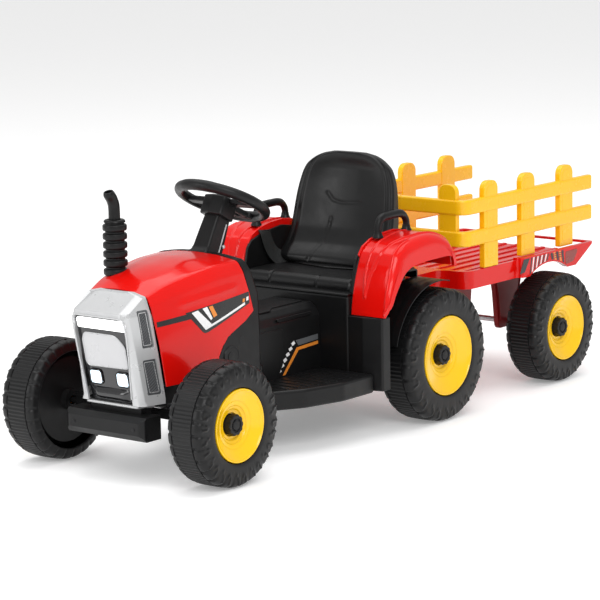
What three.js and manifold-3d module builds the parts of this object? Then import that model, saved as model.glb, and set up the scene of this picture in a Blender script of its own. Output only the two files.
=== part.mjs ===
// Ride-on toy tractor with a hitched trailer, built from separate pieces.
// Millimetres, +Z up, front towards -X, the driver's left towards -Y.
// The origin is on the ground under the middle of the whole object.
import * as THREE from 'three';
import { mergeVertices } from 'three/addons/utils/BufferGeometryUtils.js';
import Module from 'manifold-3d';

const wasm = await Module();
wasm.setup();

// ---- driving dimensions -------------------------------------------------
const GAP = 0.4; // between pieces that touch
const WALL = 4; // blow-moulded wall
const FRONT = { x: -569, r: 111, face: 237, rim: 66 };
const REAR = { x: 69, r: 128, face: 227, rim: 77 };
const TRAIL = { x: 506.5, r: 111, face: 208, rim: 66 };
const TYRE_WIDTH = 80;
const AXLE_R = 6;
const AXLE_INSET = 16; // an axle ends this far inside the wheel's outer face
const KINGPIN_Y = 135;
const STUB_R = 5;
const ARM = 50; // knuckle arm, and the crank's reach is set from it
const STEER_TILT = THREE.MathUtils.degToRad(28);
const STEER_TOP = new THREE.Vector3(-322, 0, 457); // centre of the wheel ring
const WHEEL_RING_R = 81.5;
const SHAFT_LENGTH = 382;
const PEDAL = { x: -272, y: 120 };
const WHEEL_TUBE_R = 10;
const CRANK = 24.4;
const NOSE_Z = 130; // underside of the nose, above the front axle
const BELLY_Z = 85; // lowest edge of the body
const BODY_FRONT = -612;
const SEATBOX = { x0: -125, x1: 130, w: 134, top: 262 };
const REAR_STEP = { x: 98, z: 205 }; // the box steps in above this, clear of the trailer's tongue
const TUNNEL = { w: 66, top: 245 };
const POWER = { x: -290, y: -20, r: 9 };
const DECK_TOP = 290;
const FENDER_OUT = 224;
const EXHAUST = { x: -555, y: 56 };
const HITCH = { x: 160, z: 150, r: 6 };
const BED = { x0: 235, step: 412, x1: 676, wFront: 153, wRear: 166, z0: 222, floor: 245, rim: 263 };
const FRONT_RIM = 258; // the narrow front of the bed and its tongue end lower than the rear
const TONGUE = { x: 118, w: 88 };
const FENCE = { thick: 15, bend: 24, out: 157, x: 224, top: 430, tail: 680, rails: [[307, 338], [370, 400]] };
const POSTS_X = [319, 450, 590];
const ROUND = 24; // segments round a tyre

// ---- colours ------------------------------------------------------------
const paint = (color, roughness = 0.4, metalness = 0) =>
  new THREE.MeshStandardMaterial({ color, roughness, metalness });
const RED = paint(0xd81e14, 0.18);
const YELLOW = paint(0xf7c81a, 0.25);
const BLACK = paint(0x1b1b1c, 0.45);
const GRIP = paint(0x202021, 0.6);
const SILVER = paint(0xc9cbcc, 0.3, 0.5);
const GREY = paint(0x6b6d70, 0.5, 0.2);
const PALE = paint(0xd8d9da, 0.35);
const LIGHT = paint(0xf4f8ff, 0.1);
const STEEL = paint(0x8d9196, 0.35, 0.9);
const DARK = paint(0x2b2c2e, 0.6);

// ---- solids and booleans ------------------------------------------------
const V = (x, y, z) => new THREE.Vector3(x, y, z);

function toSolid(geometry) {
  let g = geometry.clone();
  for (const name of ['normal', 'uv']) g.deleteAttribute(name);
  if (!g.index) g.setIndex([...Array(g.attributes.position.count).keys()]);
  g = mergeVertices(g, 1e-4);
  const solidOf = (triVerts) => new wasm.Manifold(new wasm.Mesh({
    numProp: 3,
    vertProperties: new Float32Array(g.attributes.position.array),
    triVerts,
  }));
  const faces = new Uint32Array(g.index.array);
  const solid = solidOf(faces);
  return solid.volume() > 0 ? solid : solidOf(faces.slice().reverse());
}

function toGeometry(solid) {
  const mesh = solid.getMesh();
  const g = new THREE.BufferGeometry();
  g.setAttribute('position', new THREE.BufferAttribute(new Float32Array(mesh.vertProperties), 3));
  g.setIndex(new THREE.BufferAttribute(new Uint32Array(mesh.triVerts), 1));
  return g;
}

const unite = (parts) => parts.reduce((a, b) => a.add(b));
const cut = (solid, parts) => parts.reduce((a, b) => a.subtract(b), solid);

function box(lo, hi) {
  const g = new THREE.BoxGeometry(hi[0] - lo[0], hi[1] - lo[1], hi[2] - lo[2]);
  g.translate((hi[0] + lo[0]) / 2, (hi[1] + lo[1]) / 2, (hi[2] + lo[2]) / 2);
  return toSolid(g);
}

// a cylinder between two points
function rod(a, b, r, segments = 12, rEnd = r) {
  const along = b.clone().sub(a);
  const g = new THREE.CylinderGeometry(rEnd, r, along.length(), segments);
  g.applyQuaternion(new THREE.Quaternion().setFromUnitVectors(V(0, 1, 0), along.clone().normalize()));
  g.translate((a.x + b.x) / 2, (a.y + b.y) / 2, (a.z + b.z) / 2);
  return toSolid(g);
}

const shapeOf = (points) => new THREE.Shape(points.map(([u, v]) => new THREE.Vector2(u, v)));
const extruded = (points, depth) =>
  new THREE.ExtrudeGeometry(shapeOf(points), { depth, bevelEnabled: false });

// an outline in X and Z, swept from y0 to y1
function sideSlab(points, y0, y1) {
  const g = extruded(points, y1 - y0);
  g.rotateX(Math.PI / 2);
  g.translate(0, y1, 0);
  return toSolid(g);
}

// an outline in X and Y, swept from z0 to z1
function planSlab(points, z0, z1) {
  const g = extruded(points, z1 - z0);
  g.translate(0, 0, z0);
  return toSolid(g);
}

// an outline in Y and Z, swept from x0 to x1
function frontSlab(points, x0, x1) {
  const g = extruded(points, x1 - x0);
  g.rotateX(Math.PI / 2);
  g.rotateZ(Math.PI / 2);
  g.translate(x0, 0, 0);
  return toSolid(g);
}

// half outlines completed by their mirror image: in Y for [y, z] points, and for [x, y] points
const mirrored = (half) => [...half, ...half.slice().reverse().map(([y, z]) => [-y, z])];
const mirroredPlan = (half) => [...half, ...half.slice().reverse().map(([x, y]) => [x, -y])];

// skin over rings of points that all have the same count, closed at both ends
function loft(rings) {
  const n = rings[0].length;
  const at = rings.flat();
  const faces = [];
  for (let i = 0; i + 1 < rings.length; i++) {
    for (let j = 0; j < n; j++) {
      const a = i * n + j;
      const b = i * n + (j + 1) % n;
      faces.push(a, b, a + n, b, b + n, a + n);
    }
  }
  for (const [ring, flip] of [[0, true], [rings.length - 1, false]]) {
    for (let j = 1; j + 1 < n; j++) {
      const tri = [ring * n, ring * n + j, ring * n + j + 1];
      faces.push(...(flip ? tri.reverse() : tri));
    }
  }
  const g = new THREE.BufferGeometry();
  g.setAttribute('position', new THREE.Float32BufferAttribute(at.flatMap((p) => p.toArray()), 3));
  g.setIndex(faces);
  return toSolid(g);
}

// a round tube along points joined by a smooth curve
function tube(points, r, steps, sides = 10) {
  const ring = Array.from({ length: sides }, (_, i) => {
    const t = (2 * Math.PI * i) / sides;
    return [r * Math.cos(t), r * Math.sin(t)];
  });
  const path = new THREE.CatmullRomCurve3(points, false, 'centripetal');
  return toSolid(new THREE.ExtrudeGeometry(shapeOf(ring), { steps, extrudePath: path }));
}

// a closed profile of [radius, height] turned about a wheel's axle;
// height 0 is the wheel's outer face and grows outwards
function turned(profile, { x, face, r }, side, segments = ROUND) {
  const points = profile.map(([u, v]) => new THREE.Vector2(u, v));
  if (points[0].x > 0) points.push(points[0].clone());
  const g = new THREE.LatheGeometry(points, segments);
  if (side < 0) g.rotateX(Math.PI);
  g.translate(x, side * face, r);
  return toSolid(g);
}

const group = new THREE.Group();
function add(name, solid, material) {
  const mesh = new THREE.Mesh(toGeometry(solid), material);
  mesh.name = name;
  group.add(mesh);
}
const SIDES = [['left', -1], ['right', 1]];

// ---- wheels -------------------------------------------------------------
function tyreProfile({ r, rim }) {
  const shell = 5;
  return [
    [rim, -2], [rim + 10, 0], [r - 8, -4], [r, -16], [r, -TYRE_WIDTH + 12], [r - 9, -TYRE_WIDTH],
    [r - 18, -TYRE_WIDTH], [r - 18, -TYRE_WIDTH + shell], [r - shell, -TYRE_WIDTH + 14],
    [r - shell, -17], [rim, -8],
  ];
}

function rimProfile({ rim }, bore) {
  const e = rim - 1;
  return [
    [e, -1], [e - 9, -3], [e - 16, -15], [28, -24], [20, -24], [20, -30],
    [bore, -30], [bore, -TYRE_WIDTH], [bore + 9, -TYRE_WIDTH], [bore + 9, -34], [e - 20, -24], [e, -9],
  ];
}

const hubCapProfile = (bore) =>
  [[0, -9], [15, -9], [18, -12], [18, -29.5], [bore + 2.5, -29.5], [bore + 2.5, -13], [0, -13]];

function addWheel(name, wheel, side, bore) {
  add(`${name}_tyre`, turned(tyreProfile(wheel), wheel, side), BLACK);
  add(`${name}_rim`, turned(rimProfile(wheel, bore), wheel, side, 18), YELLOW);
  add(`${name}_hub_cap`, turned(hubCapProfile(bore), wheel, side, 12), DARK);
}

// ---- front axle and steering ---------------------------------------------
function frontAxleBeam() {
  const parts = [box([FRONT.x - 8, -112, FRONT.r - 7], [FRONT.x + 8, 112, FRONT.r + 7])];
  for (const s of [-1, 1]) {
    const span = (a, b) => [Math.min(s * a, s * b), Math.max(s * a, s * b)];
    const [w0, w1] = span(106, 114);
    const [p0, p1] = span(106, 143);
    parts.push(box([FRONT.x - 10, w0, 93], [FRONT.x + 10, w1, 129]));
    parts.push(box([FRONT.x - 10, p0, 93], [FRONT.x + 10, p1, 98]));
    parts.push(box([FRONT.x - 10, p0, 124], [FRONT.x + 10, p1, 129]));
  }
  const pins = [-1, 1].map((s) => rod(V(FRONT.x, s * KINGPIN_Y, 88), V(FRONT.x, s * KINGPIN_Y, 134), 4.5));
  return cut(unite(parts), pins);
}

function knuckle(s) {
  const y0 = Math.min(s * 127, s * 143);
  return unite([
    box([FRONT.x - 8, y0, 99], [FRONT.x + 8, y0 + 16, 123]),
    rod(V(FRONT.x, s * KINGPIN_Y, 90), V(FRONT.x, s * KINGPIN_Y, 132), 4),
    rod(V(FRONT.x, s * 140, FRONT.r), V(FRONT.x, s * (FRONT.face - AXLE_INSET), FRONT.r), STUB_R),
    box([FRONT.x + 5, s * KINGPIN_Y - 5, 101], [FRONT.x + ARM + 6, s * KINGPIN_Y + 5, 107]),
    rod(V(FRONT.x + ARM, s * KINGPIN_Y, 88), V(FRONT.x + ARM, s * KINGPIN_Y, 104), 4),
  ]);
}

function tieRod() {
  const x = FRONT.x + ARM;
  const bar = unite([
    box([x - 13, -150, 92], [x + 13, 150, 97]),
    box([x - 13, -18, 92], [x + 58, 18, 97]),
  ]);
  const eyes = [-1, 1].map((s) => rod(V(x, s * KINGPIN_Y, 90), V(x, s * KINGPIN_Y, 99), 8));
  const slot = box([x + 15, -6, 90], [x + 49, 6, 99]);
  return cut(bar, [...eyes, slot]);
}

// the shaft leans back, and its foot carries a crank with a pin
const steerAxis = V(Math.sin(STEER_TILT), 0, Math.cos(STEER_TILT));
const onShaft = (down) => STEER_TOP.clone().addScaledVector(steerAxis, -down);

function steeringShaft() {
  const foot = onShaft(SHAFT_LENGTH);
  const rear = V(Math.cos(STEER_TILT), 0, -Math.sin(STEER_TILT));
  const tip = foot.clone().addScaledVector(rear, CRANK);
  return unite([
    rod(onShaft(23), foot.clone().addScaledVector(steerAxis, -3), 5),
    rod(foot, tip.clone().addScaledVector(rear, 4), 4),
    rod(tip, tip.clone().addScaledVector(steerAxis, -20), 4),
  ]);
}

function inWheelPlane(angle, radius, up = 0) {
  const forward = V(-Math.cos(STEER_TILT), 0, Math.sin(STEER_TILT));
  return STEER_TOP.clone()
    .addScaledVector(forward, radius * Math.cos(angle))
    .addScaledVector(V(0, 1, 0), radius * Math.sin(angle))
    .addScaledVector(steerAxis, up);
}

function steeringWheel() {
  const ring = new THREE.TorusGeometry(WHEEL_RING_R, WHEEL_TUBE_R, 8, 22);
  ring.rotateY(STEER_TILT);
  ring.translate(STEER_TOP.x, STEER_TOP.y, STEER_TOP.z);
  const hub = rod(onShaft(22), onShaft(-6), 24, 20, 20);
  const spokes = [90, 270, 180].map((a) => {
    const t = THREE.MathUtils.degToRad(a);
    return rod(inWheelPlane(t, 8, -6), inWheelPlane(t, WHEEL_RING_R), 8, 8);
  });
  return cut(unite([toSolid(ring), hub, ...spokes]), [rod(onShaft(1), onShaft(-8), 15)]);
}

const hornButton = () => rod(onShaft(-2), onShaft(-10), 14, 20, 12);

function columnCover() {
  const outer = rod(onShaft(118), onShaft(26), 21, 16, 17);
  const dashTop = box([-500, -60, 300], [-300, 60, 376]);
  return cut(outer, [rod(onShaft(120), onShaft(24), 7.5), dashTop]);
}

// ---- body ---------------------------------------------------------------
// one cross-section of the hood at x: crown, shoulder and foot
function hoodRing(x, crown, shoulderZ, shoulderW, footW, footZ, lean) {
  const half = [
    [0, crown], [0.45 * shoulderW, crown - 0.18 * (crown - shoulderZ)],
    [0.82 * shoulderW, shoulderZ + 0.55 * (crown - shoulderZ)], [shoulderW, shoulderZ - 2],
    [shoulderW + 0.2 * (footW - shoulderW) + 2, shoulderZ - 14],
    [0.5 * (shoulderW + footW) + 4, 0.5 * (shoulderZ + footZ)], [footW, footZ],
  ];
  const both = [...half, ...half.slice(1).reverse().map(([y, z]) => [-y, z])];
  return both.map(([y, z]) => V(x + lean * (crown - z), y, z));
}

// stations of the hood from front to back: crown height, shoulder height and half widths
const HOOD = [
  { x: -615.4, crown: 337, z: 323, w: 72, foot: 89 },
  { x: -570, crown: 356, z: 338, w: 80, foot: 94 },
  { x: -510, crown: 369, z: 349, w: 89, foot: 100 },
  { x: -450, crown: 374, z: 357, w: 96, foot: 105 },
  { x: -330, crown: 374, z: 362, w: 101, foot: 108 },
];
const HOOD_FOOT = 168;
const NOSE_LEAN = 0.13; // the front edge runs back as it goes down

const hoodSolid = (inset, foot) => loft(HOOD.map((s, i) => hoodRing(
  s.x, s.crown - inset, s.z - inset, s.w - inset, s.foot - inset, foot, i === 0 ? NOSE_LEAN : 0.0,
)));

// the rear edge of the hood, where it meets the dash
const HOOD_EDGE = [[-406, 390], [-400, 372], [-377, 303], [-369, 271], [-387, 258], [-447, 231], [-468, 196],
  [-470, NOSE_Z]];

function hood() {
  const shell = hoodSolid(0, HOOD_FOOT).subtract(hoodSolid(3, HOOD_FOOT - 20));
  const behind = sideSlab([...HOOD_EDGE, [-300, NOSE_Z], [-300, 390]], -130, 130);
  const exhaustHole = rod(V(EXHAUST.x, EXHAUST.y, 300), V(EXHAUST.x, EXHAUST.y, 380), 22.8, 20);
  return cut(shell, [behind, exhaustHole]);
}

function footOutline(inset) {
  const out = [[-362, 138], [-340, 152], [-300, 172], [-255, 186], [-215, 192], [-118, 192]];
  return mirroredPlan(out.map(([x, y]) => [x, y - inset]));
}

const DASH_EDGE = HOOD_EDGE.map(([x, z]) => [x + GAP + 0.6, z]);

// the dash follows the hood's own cross-section, so it is cut from the same loft
function dash(inset) {
  const rear = [[-350 - inset, NOSE_Z - 2 * inset], [-350 - inset, 300], [-386 - inset, 390]];
  const front = DASH_EDGE.slice().reverse().map(([x, z], i) => [x + inset, i ? z : z - 2 * inset]);
  const slab = sideSlab([...front, ...rear.reverse()], -130, 130);
  return slab.intersect(hoodSolid(inset - 1.5, 80));
}

// the box under the seat, stepped in at its upper rear
function steppedBox(inset, bottom) {
  const { x0, x1, w, top } = SEATBOX;
  const [stepX, stepZ] = [REAR_STEP.x - inset, REAR_STEP.z - inset];
  const side = [[x0 + inset, bottom], [x1 - inset, bottom], [x1 - inset, stepZ], [stepX, stepZ],
    [stepX, top - inset], [x0 + inset, top - inset]];
  return sideSlab(side, -w + inset, w - inset);
}

function lowerBody() {
  const b = SEATBOX;
  const bottom = BELLY_Z + WALL;
  const outer = unite([
    dash(0),
    planSlab([[BODY_FRONT, -70], [-440, -88], [-440, 88], [BODY_FRONT, 70]], NOSE_Z, 166),
    box([-450, -104, BELLY_Z], [-340, 104, 150]),
    box([-360, -TUNNEL.w, BELLY_Z], [b.x0 + 10, TUNNEL.w, TUNNEL.top]),
    steppedBox(0, BELLY_Z),
    planSlab(footOutline(0), BELLY_Z, 121),
    ...[-1, 1].map((s) => box([b.x0, s < 0 ? -208 : 120, BELLY_Z + 3], [-93, s < 0 ? -120 : 208, 226])),
  ]);
  const inner = [
    box([-600, -62, NOSE_Z + WALL], [-450, 62, 162]),
    box([-446, -100, bottom], [-354, 100, 146]),
    dash(WALL),
    box([-380, -TUNNEL.w + WALL, bottom], [b.x0 + 20, TUNNEL.w - WALL, TUNNEL.top - WALL]),
    steppedBox(WALL, bottom),
    planSlab(footOutline(WALL).map(([x, y]) => [Math.min(x + WALL, -122), y]), bottom, 117),
    ...[-1, 1].map((s) => box([b.x0 + WALL, s < 0 ? -204 : 124, bottom + 3], [-97, s < 0 ? -124 : 204, 222])),
    rod(V(REAR.x, -140, REAR.r), V(REAR.x, 140, REAR.r), 20),
    box([-545, -26, NOSE_Z - 12], [-440, 26, 190]),
    rod(onShaft(330), onShaft(60), 8),
  ];
  const braces = [
    box([-628, -60, 100], [BODY_FRONT + 10, 60, 140]),
    box([b.x0 + 2, -b.w + 2, 146], [b.x0 + 112, b.w - 2, 150]),
    box([b.x1 - 2, -22, HITCH.z - 20], [HITCH.x + 14, 22, HITCH.z - 14]),
    box([b.x1 - 2, -22, HITCH.z + 14], [HITCH.x + 14, 22, HITCH.z + 20]),
  ];
  const holes = [
    rod(V(HITCH.x, 0, HITCH.z - 30), V(HITCH.x, 0, HITCH.z + 30), HITCH.r + GAP),
    rod(V(POWER.x, POWER.y, TUNNEL.top - 10), V(POWER.x, POWER.y, TUNNEL.top + 10), POWER.r + 0.6),
  ];
  return cut(unite([cut(outer, inner), ...braces]), holes);
}

// ---- grille ---------------------------------------------------------------
// rings of the nose frame at rising heights: front edge x, its half width, rear edge x and half width
const NOSE_RINGS = [
  { z: 137, x: -641, w: 70, xr: -592, wr: 86 },
  { z: 146, x: -642, w: 66, xr: -592, wr: 86 },
  { z: 215, x: -655, w: 63, xr: -600, wr: 81 },
  { z: 296, x: -671, w: 59, xr: -610, wr: 74 },
  { z: 304, x: -670, w: 57, xr: -612, wr: 72 },
  { z: 329, x: -622, w: 52, xr: -616.5, wr: 67 },
  { z: 335, x: -619, w: 30, xr: -616.6, wr: 40 },
];

// how fast the nose widens towards the hood
const sideSlope = ({ x, w, xr, wr }) => (wr - w - 6) / (xr - x - 12);

const noseSolid = (inset) => loft(NOSE_RINGS.map(({ z, x, w, xr, wr }) => {
  const back = wr - inset + 3 * inset * sideSlope({ x, w, xr, wr });
  const half = [[xr + 3 * inset, back], [x + 12 + inset, w + 6 - inset], [x + inset, w - 3 - inset]];
  const lift = z > 300 ? -inset : 0;
  const ring = [...half, ...half.slice().reverse().map(([px, py]) => [px, -py])];
  return ring.map(([px, py]) => V(px, py, z + lift));
}));

function grilleFrame() {
  const window = frontSlab(mirrored([[54, 145], [55, 185], [60, 216], [58, 262], [54, 291]]), -690, -640);
  const vents = [];
  for (const s of [-1, 1]) {
    for (const [z0, z1, shift] of [[158, 226, 0], [243, 300, -14]]) {
      const outline = [[-634, z0], [-600, z0], [-606, z1], [-642, z1]].map(([x, z]) => [x + shift, z]);
      vents.push(sideSlab(outline, s < 0 ? -100 : 50, s < 0 ? -50 : 100));
    }
  }
  const open = box([-616, -66, 120], [-560, 66, 300]);
  return cut(noseSolid(0), [noseSolid(4), open, window, ...vents]);
}

// a plate on the sloped front plane between two heights, 'back' behind the front edge
function nosePlate(points, back, thick) {
  const slope = (671 - 642) / (296 - 146);
  const at = (z) => -642 - (z - 146) * slope;
  const ringAt = (d) => points.map(([y, z]) => V(at(z) + d, y, z));
  return loft([ringAt(back + thick), ringAt(back)]);
}

const grillePanel = () => nosePlate(mirrored([[52, 141], [53, 190], [57, 216], [56, 262], [54, 287]]), 9, 3);
const displayPanel = () => nosePlate(mirrored([[30, 206], [46, 210], [46, 252], [36, 262]]), 3, 5.6);
const lightBar = () => nosePlate(mirrored([[48, 272], [50, 288]]), 3, 5.6);
const headlight = (s) => nosePlate(
  [[s * 29 - 12, 176], [s * 29 + 12, 176], [s * 29 + 12, 198], [s * 29 - 12, 198]], 3, 5.6);

function ventInsert(s) {
  const rings = NOSE_RINGS.slice(1, 4).map((ring) => {
    const { z, x, w, xr } = ring;
    const outer = (at) => s * (w - 0.5 + sideSlope(ring) * (at - x - 12));
    const [x0, x1] = [x + 20, xr - 1];
    const [back, front] = [outer(x1), outer(x0)];
    return [V(x1, back, z), V(x0, front, z), V(x0, front - 2 * s, z), V(x1, back - 2 * s, z)];
  });
  return loft(rings);
}

function frontBumper() {
  const plan = mirroredPlan([[-613, 92], [-656, 92], [-662, 84]]);
  const body = planSlab(plan, 78, 121);
  const chamfer = frontSlab([[60, 70], [130, 70], [130, 92]], -700, -600);
  const other = frontSlab([[-130, 92], [-130, 70], [-60, 70]], -700, -600);
  const pocket = box([-655, -84, 70], [-629.5, 84, 116]);
  return cut(body, [chamfer, other, pocket, box([-640, -61, 99], [-600, 61, 130])]);
}

// ---- exhaust --------------------------------------------------------------
function muffler() {
  const { x, y } = EXHAUST;
  const profile = [[0, 345], [16, 345]];
  const rings = 6;
  const pitch = 15.6;
  for (let i = 0; i < rings; i++) {
    const z = 353 + i * pitch;
    profile.push([22, z + 2], [22, z + 11], [19, z + 14]);
  }
  profile.push([11, 448.5], [0, 448.5]);
  const g = new THREE.LatheGeometry(profile.map(([r, z]) => new THREE.Vector2(r, z)), 16);
  g.rotateX(Math.PI / 2);
  g.translate(x, y, 0);
  return toSolid(g);
}

function exhaustPipe() {
  const { x, y } = EXHAUST;
  const path = [V(x, y, 449), V(x, y, 470), V(x - 3, y, 482), V(x - 12, y, 494), V(x - 19, y, 501)];
  return tube(path, 10.5, 8);
}

// ---- seat, deck, fenders and handles -----------------------------------------
function seatDeck() {
  const { w } = SEATBOX;
  const rear = REAR_STEP.x;
  const side = [[-100, 262.4], [-107, 268], [-108, 277], [-103, 286], [-92, DECK_TOP], [rear - 4, DECK_TOP],
    [rear, 286], [rear, 262.4]];
  const outer = sideSlab(side, -w + GAP, w - GAP);
  const hollow = box([-96, -w + WALL, 250], [rear - WALL, w - WALL, DECK_TOP - WALL]);
  const lip = box([-124.5, -w + GAP, 262.4], [-90, w - GAP, 270]);
  return unite([outer, lip]).subtract(hollow);
}

// half widths of the seat back by height, with the x of its front face and its depth
const SEAT_ROWS = [
  { z: DECK_TOP + GAP, x: -14, w: 112, d: 84 },
  { z: 300, x: -20, w: 118, d: 92 },
  { z: 314, x: -12, w: 121, d: 86 },
  { z: 330, x: 8, w: 122, d: 68 },
  { z: 362, x: 24, w: 122, d: 54 },
  { z: 417, x: 35, w: 118, d: 45 },
  { z: 450, x: 42, w: 112, d: 39 },
  { z: 474, x: 46, w: 102, d: 36 },
  { z: 492, x: 51, w: 80, d: 30 },
  { z: 505, x: 57, w: 46, d: 20 },
];

// the space behind the seat's faces, open underneath
const SEAT_HOLLOW = [[-6, 280], [60, 280], [62, 306], [66, 340], [68, 417], [70, 455], [56, 455], [46, 417],
  [35, 362], [18, 330], [-6, 308]];

function seat() {
  const shell = loft(SEAT_ROWS.map(({ z, x, w, d }) => {
    const half = [[x + d, 0.55 * w], [x + d - 6, 0.9 * w], [x + 0.5 * d, w], [x + 2, 0.93 * w],
      [x + 6, 0.6 * w]];
    const ring = [[x + 8, 0], ...half.slice().reverse().map(([px, py]) => [px, -py]), ...half];
    return ring.map(([px, py]) => V(px, py, z));
  }));
  return shell.subtract(sideSlab(SEAT_HOLLOW, -98, 98));
}

// the fender's side outline and its cross-section, both drawn in by an inset
function fenderSolid(s, inset) {
  const t = inset;
  const side = [[-124.5 + t, 226.6 - 2 * t], [-111 + t, 280], [-93 + t, 330], [-78 + t, 350 - t],
    [-54 + t, 362 - t],
    [20, 372 - t], [68, 362 - t], [98 - t, 346 - t], [105 - t, 296 - 2 * t], [60, 226.6 - 2 * t]];
  const section = [[134.6 + t, 200 - t], [134.6 + t, 390], [172, 390 - t], [190, 372 - t], [212 - t, 356 - t],
    [222 - t, 338], [FENDER_OUT - t, 316], [FENDER_OUT - t, 200 - t]];
  return sideSlab(side, s < 0 ? -230 : 130, s < 0 ? -130 : 230)
    .intersect(frontSlab(section.map(([y, z]) => [s * y, z]), -140, 120));
}

const ARCH = [[-103, 200], [-103, 240], [-92, 272], [-76, 293], [-58, 306], [-34, 315], [10, 319], [84, 320],
  [93, 296], [93, 200]];

function fender(s) {
  const shell = fenderSolid(s, 0).subtract(fenderSolid(s, 3.5));
  return shell.subtract(sideSlab(ARCH, s < 0 ? -240 : 138.5, s < 0 ? -138.5 : 240));
}

// black liner between the tyre and the fender: a band round the wheel's axle
function wheelArch(s) {
  const arc = (r, a0, a1, n) => Array.from({ length: n + 1 }, (_, i) => {
    const t = THREE.MathUtils.degToRad(a0 + ((a1 - a0) * i) / n);
    return [REAR.x + r * Math.cos(t), REAR.r + r * Math.sin(t)];
  });
  const band = [...arc(141, 165, 76, 6), ...arc(145, 76, 165, 6)];
  return sideSlab(band, s < 0 ? -206 : 139, s < 0 ? -139 : 206);
}

function handle(s) {
  const y = s * 147;
  const path = [V(-47, y, 366), V(-47, y, 384), V(-42, y, 395), V(-26, y, 401), V(22, y, 402), V(37, y, 397),
    V(43, y, 386), V(44, y, 371)];
  const bar = tube(path, 7.5, 14, 8);
  const feet = [[-47, 364.8], [44, 369.4]].map(([x, z]) => box([x - 9, y - 10, z], [x + 9, y + 10, z + 3]));
  return unite([bar, ...feet]);
}

// ---- inner parts ------------------------------------------------------------
function gearbox(s) {
  const span = (a, b) => [Math.min(s * a, s * b), Math.max(s * a, s * b)];
  const [y0, y1] = span(92, 128);
  const solid = unite([
    box([34, y0, 98], [102, y1, 158]),
    rod(V(58, s * 40, 140), V(58, s * 94, 140), 17),
    rod(V(REAR.x, s * 120, REAR.r), V(REAR.x, s * 143, REAR.r), 16),
  ]);
  return solid.subtract(rod(V(REAR.x, s * 30, REAR.r), V(REAR.x, s * 150, REAR.r), AXLE_R + GAP));
}

const battery = () => box([-104, -46, 150.4], [-22, 46, 246]);
const rearAxle = () =>
  rod(V(REAR.x, AXLE_INSET - REAR.face, REAR.r), V(REAR.x, REAR.face - AXLE_INSET, REAR.r), AXLE_R);
const trailerAxle = () =>
  rod(V(TRAIL.x, AXLE_INSET - TRAIL.face, TRAIL.r), V(TRAIL.x, TRAIL.face - AXLE_INSET, TRAIL.r), AXLE_R);

// ---- controls ----------------------------------------------------------------
function powerButton() {
  const at = (z) => V(POWER.x, POWER.y, TUNNEL.top + z);
  return rod(at(-7), at(4), POWER.r);
}
const directionSwitch = () => unite([
  rod(V(-235, 28, TUNNEL.top + 7), V(-235, 12, TUNNEL.top + 7), 6, 12),
  rod(V(-235, 20, TUNNEL.top + 9), V(-235, 20, TUNNEL.top + 26), 4, 10, 5),
]);
function footPedal() {
  const side = [[PEDAL.x - 62, 150], [PEDAL.x - 58, 153], [PEDAL.x + 3, 130], [PEDAL.x + 4, 124],
    [PEDAL.x - 4, 124]];
  return sideSlab(side, PEDAL.y - 22, PEDAL.y + 22);
}

// ---- trailer -------------------------------------------------------------------
function bedOutline(inset) {
  const { x0, step, x1, wFront, wRear } = BED;
  const r = 24;
  const corner = Array.from({ length: 5 }, (_, i) => {
    const t = (Math.PI / 8) * i;
    return [x0 + r - (r - inset) * Math.cos(t), wFront - r + (r - inset) * Math.sin(t)];
  });
  const half = [...corner, [step, wFront - inset], [step, wRear - inset], [x1 - inset, wRear - inset]];
  return mirroredPlan(half);
}

// the flat tongue that leads the bed forward over the hitch, hollow underneath
function tongue(inset) {
  const { x, w } = TONGUE;
  const side = w - inset;
  const half = [[x + inset, w - 22], [x + 6, side - 8], [x + 22, side], [BED.x0 + 4 - inset, side]];
  return mirroredPlan(half);
}

function trailerBed() {
  const { x0, x1, z0, floor, rim } = BED;
  const walls = planSlab(bedOutline(0), z0, rim);
  const load = planSlab(bedOutline(5), floor, rim + 5);
  const under = planSlab(bedOutline(4), z0 - 5, floor - 4);
  const arches = rod(V(TRAIL.x, -200, TRAIL.r), V(TRAIL.x, 200, TRAIL.r), TRAIL.r + 19, 40);
  const inside = box([300, -110, 100], [x1, 110, 300]);
  const slope = [[x1 - 52, z0 - 5], [x1 + 20, z0 - 5], [x1 + 20, rim + 1], [x1 + 3, rim + 1]];
  const tail = sideSlab(slope, -200, 200);
  const flange = planSlab(bedOutline(-3), rim - 4, rim).subtract(box([0, -300, 0], [BED.step, 300, 400]));
  const tub = unite([cut(walls, [under]), flange]);
  const upper = box([0, -300, FRONT_RIM], [BED.step - 1, 300, rim + 5]);
  const lead = planSlab(tongue(0), z0, FRONT_RIM).subtract(planSlab(tongue(WALL), z0 - 5, FRONT_RIM - WALL));
  const shell = unite([cut(tub, [load, tail, upper, arches.subtract(inside)]), lead]);
  const ribs = [-96, -64, -32, 0, 32, 64, 96].map((y) => {
    return box([x0 + 18, y - 5, floor - 2], [x1 - 30, y + 5, floor + 3]);
  });
  const legs = [];
  for (const s of [-1, 1]) {
    const side = [[TRAIL.x - 68, floor - 2], [TRAIL.x - 48, 190], [TRAIL.x - 35, 99], [TRAIL.x + 35, 99],
      [TRAIL.x + 48, 190], [TRAIL.x + 68, floor - 2]];
    legs.push(sideSlab(side, s < 0 ? -66 : 54, s < 0 ? -54 : 66));
  }
  const mount = box([BED.x0 + 8, -26, 200], [330, 26, floor - 2]);
  const axleHole = rod(V(TRAIL.x, -80, TRAIL.r), V(TRAIL.x, 80, TRAIL.r), AXLE_R + GAP);
  return cut(unite([shell, ...ribs, ...legs, mount]), [axleHole]);
}

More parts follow.
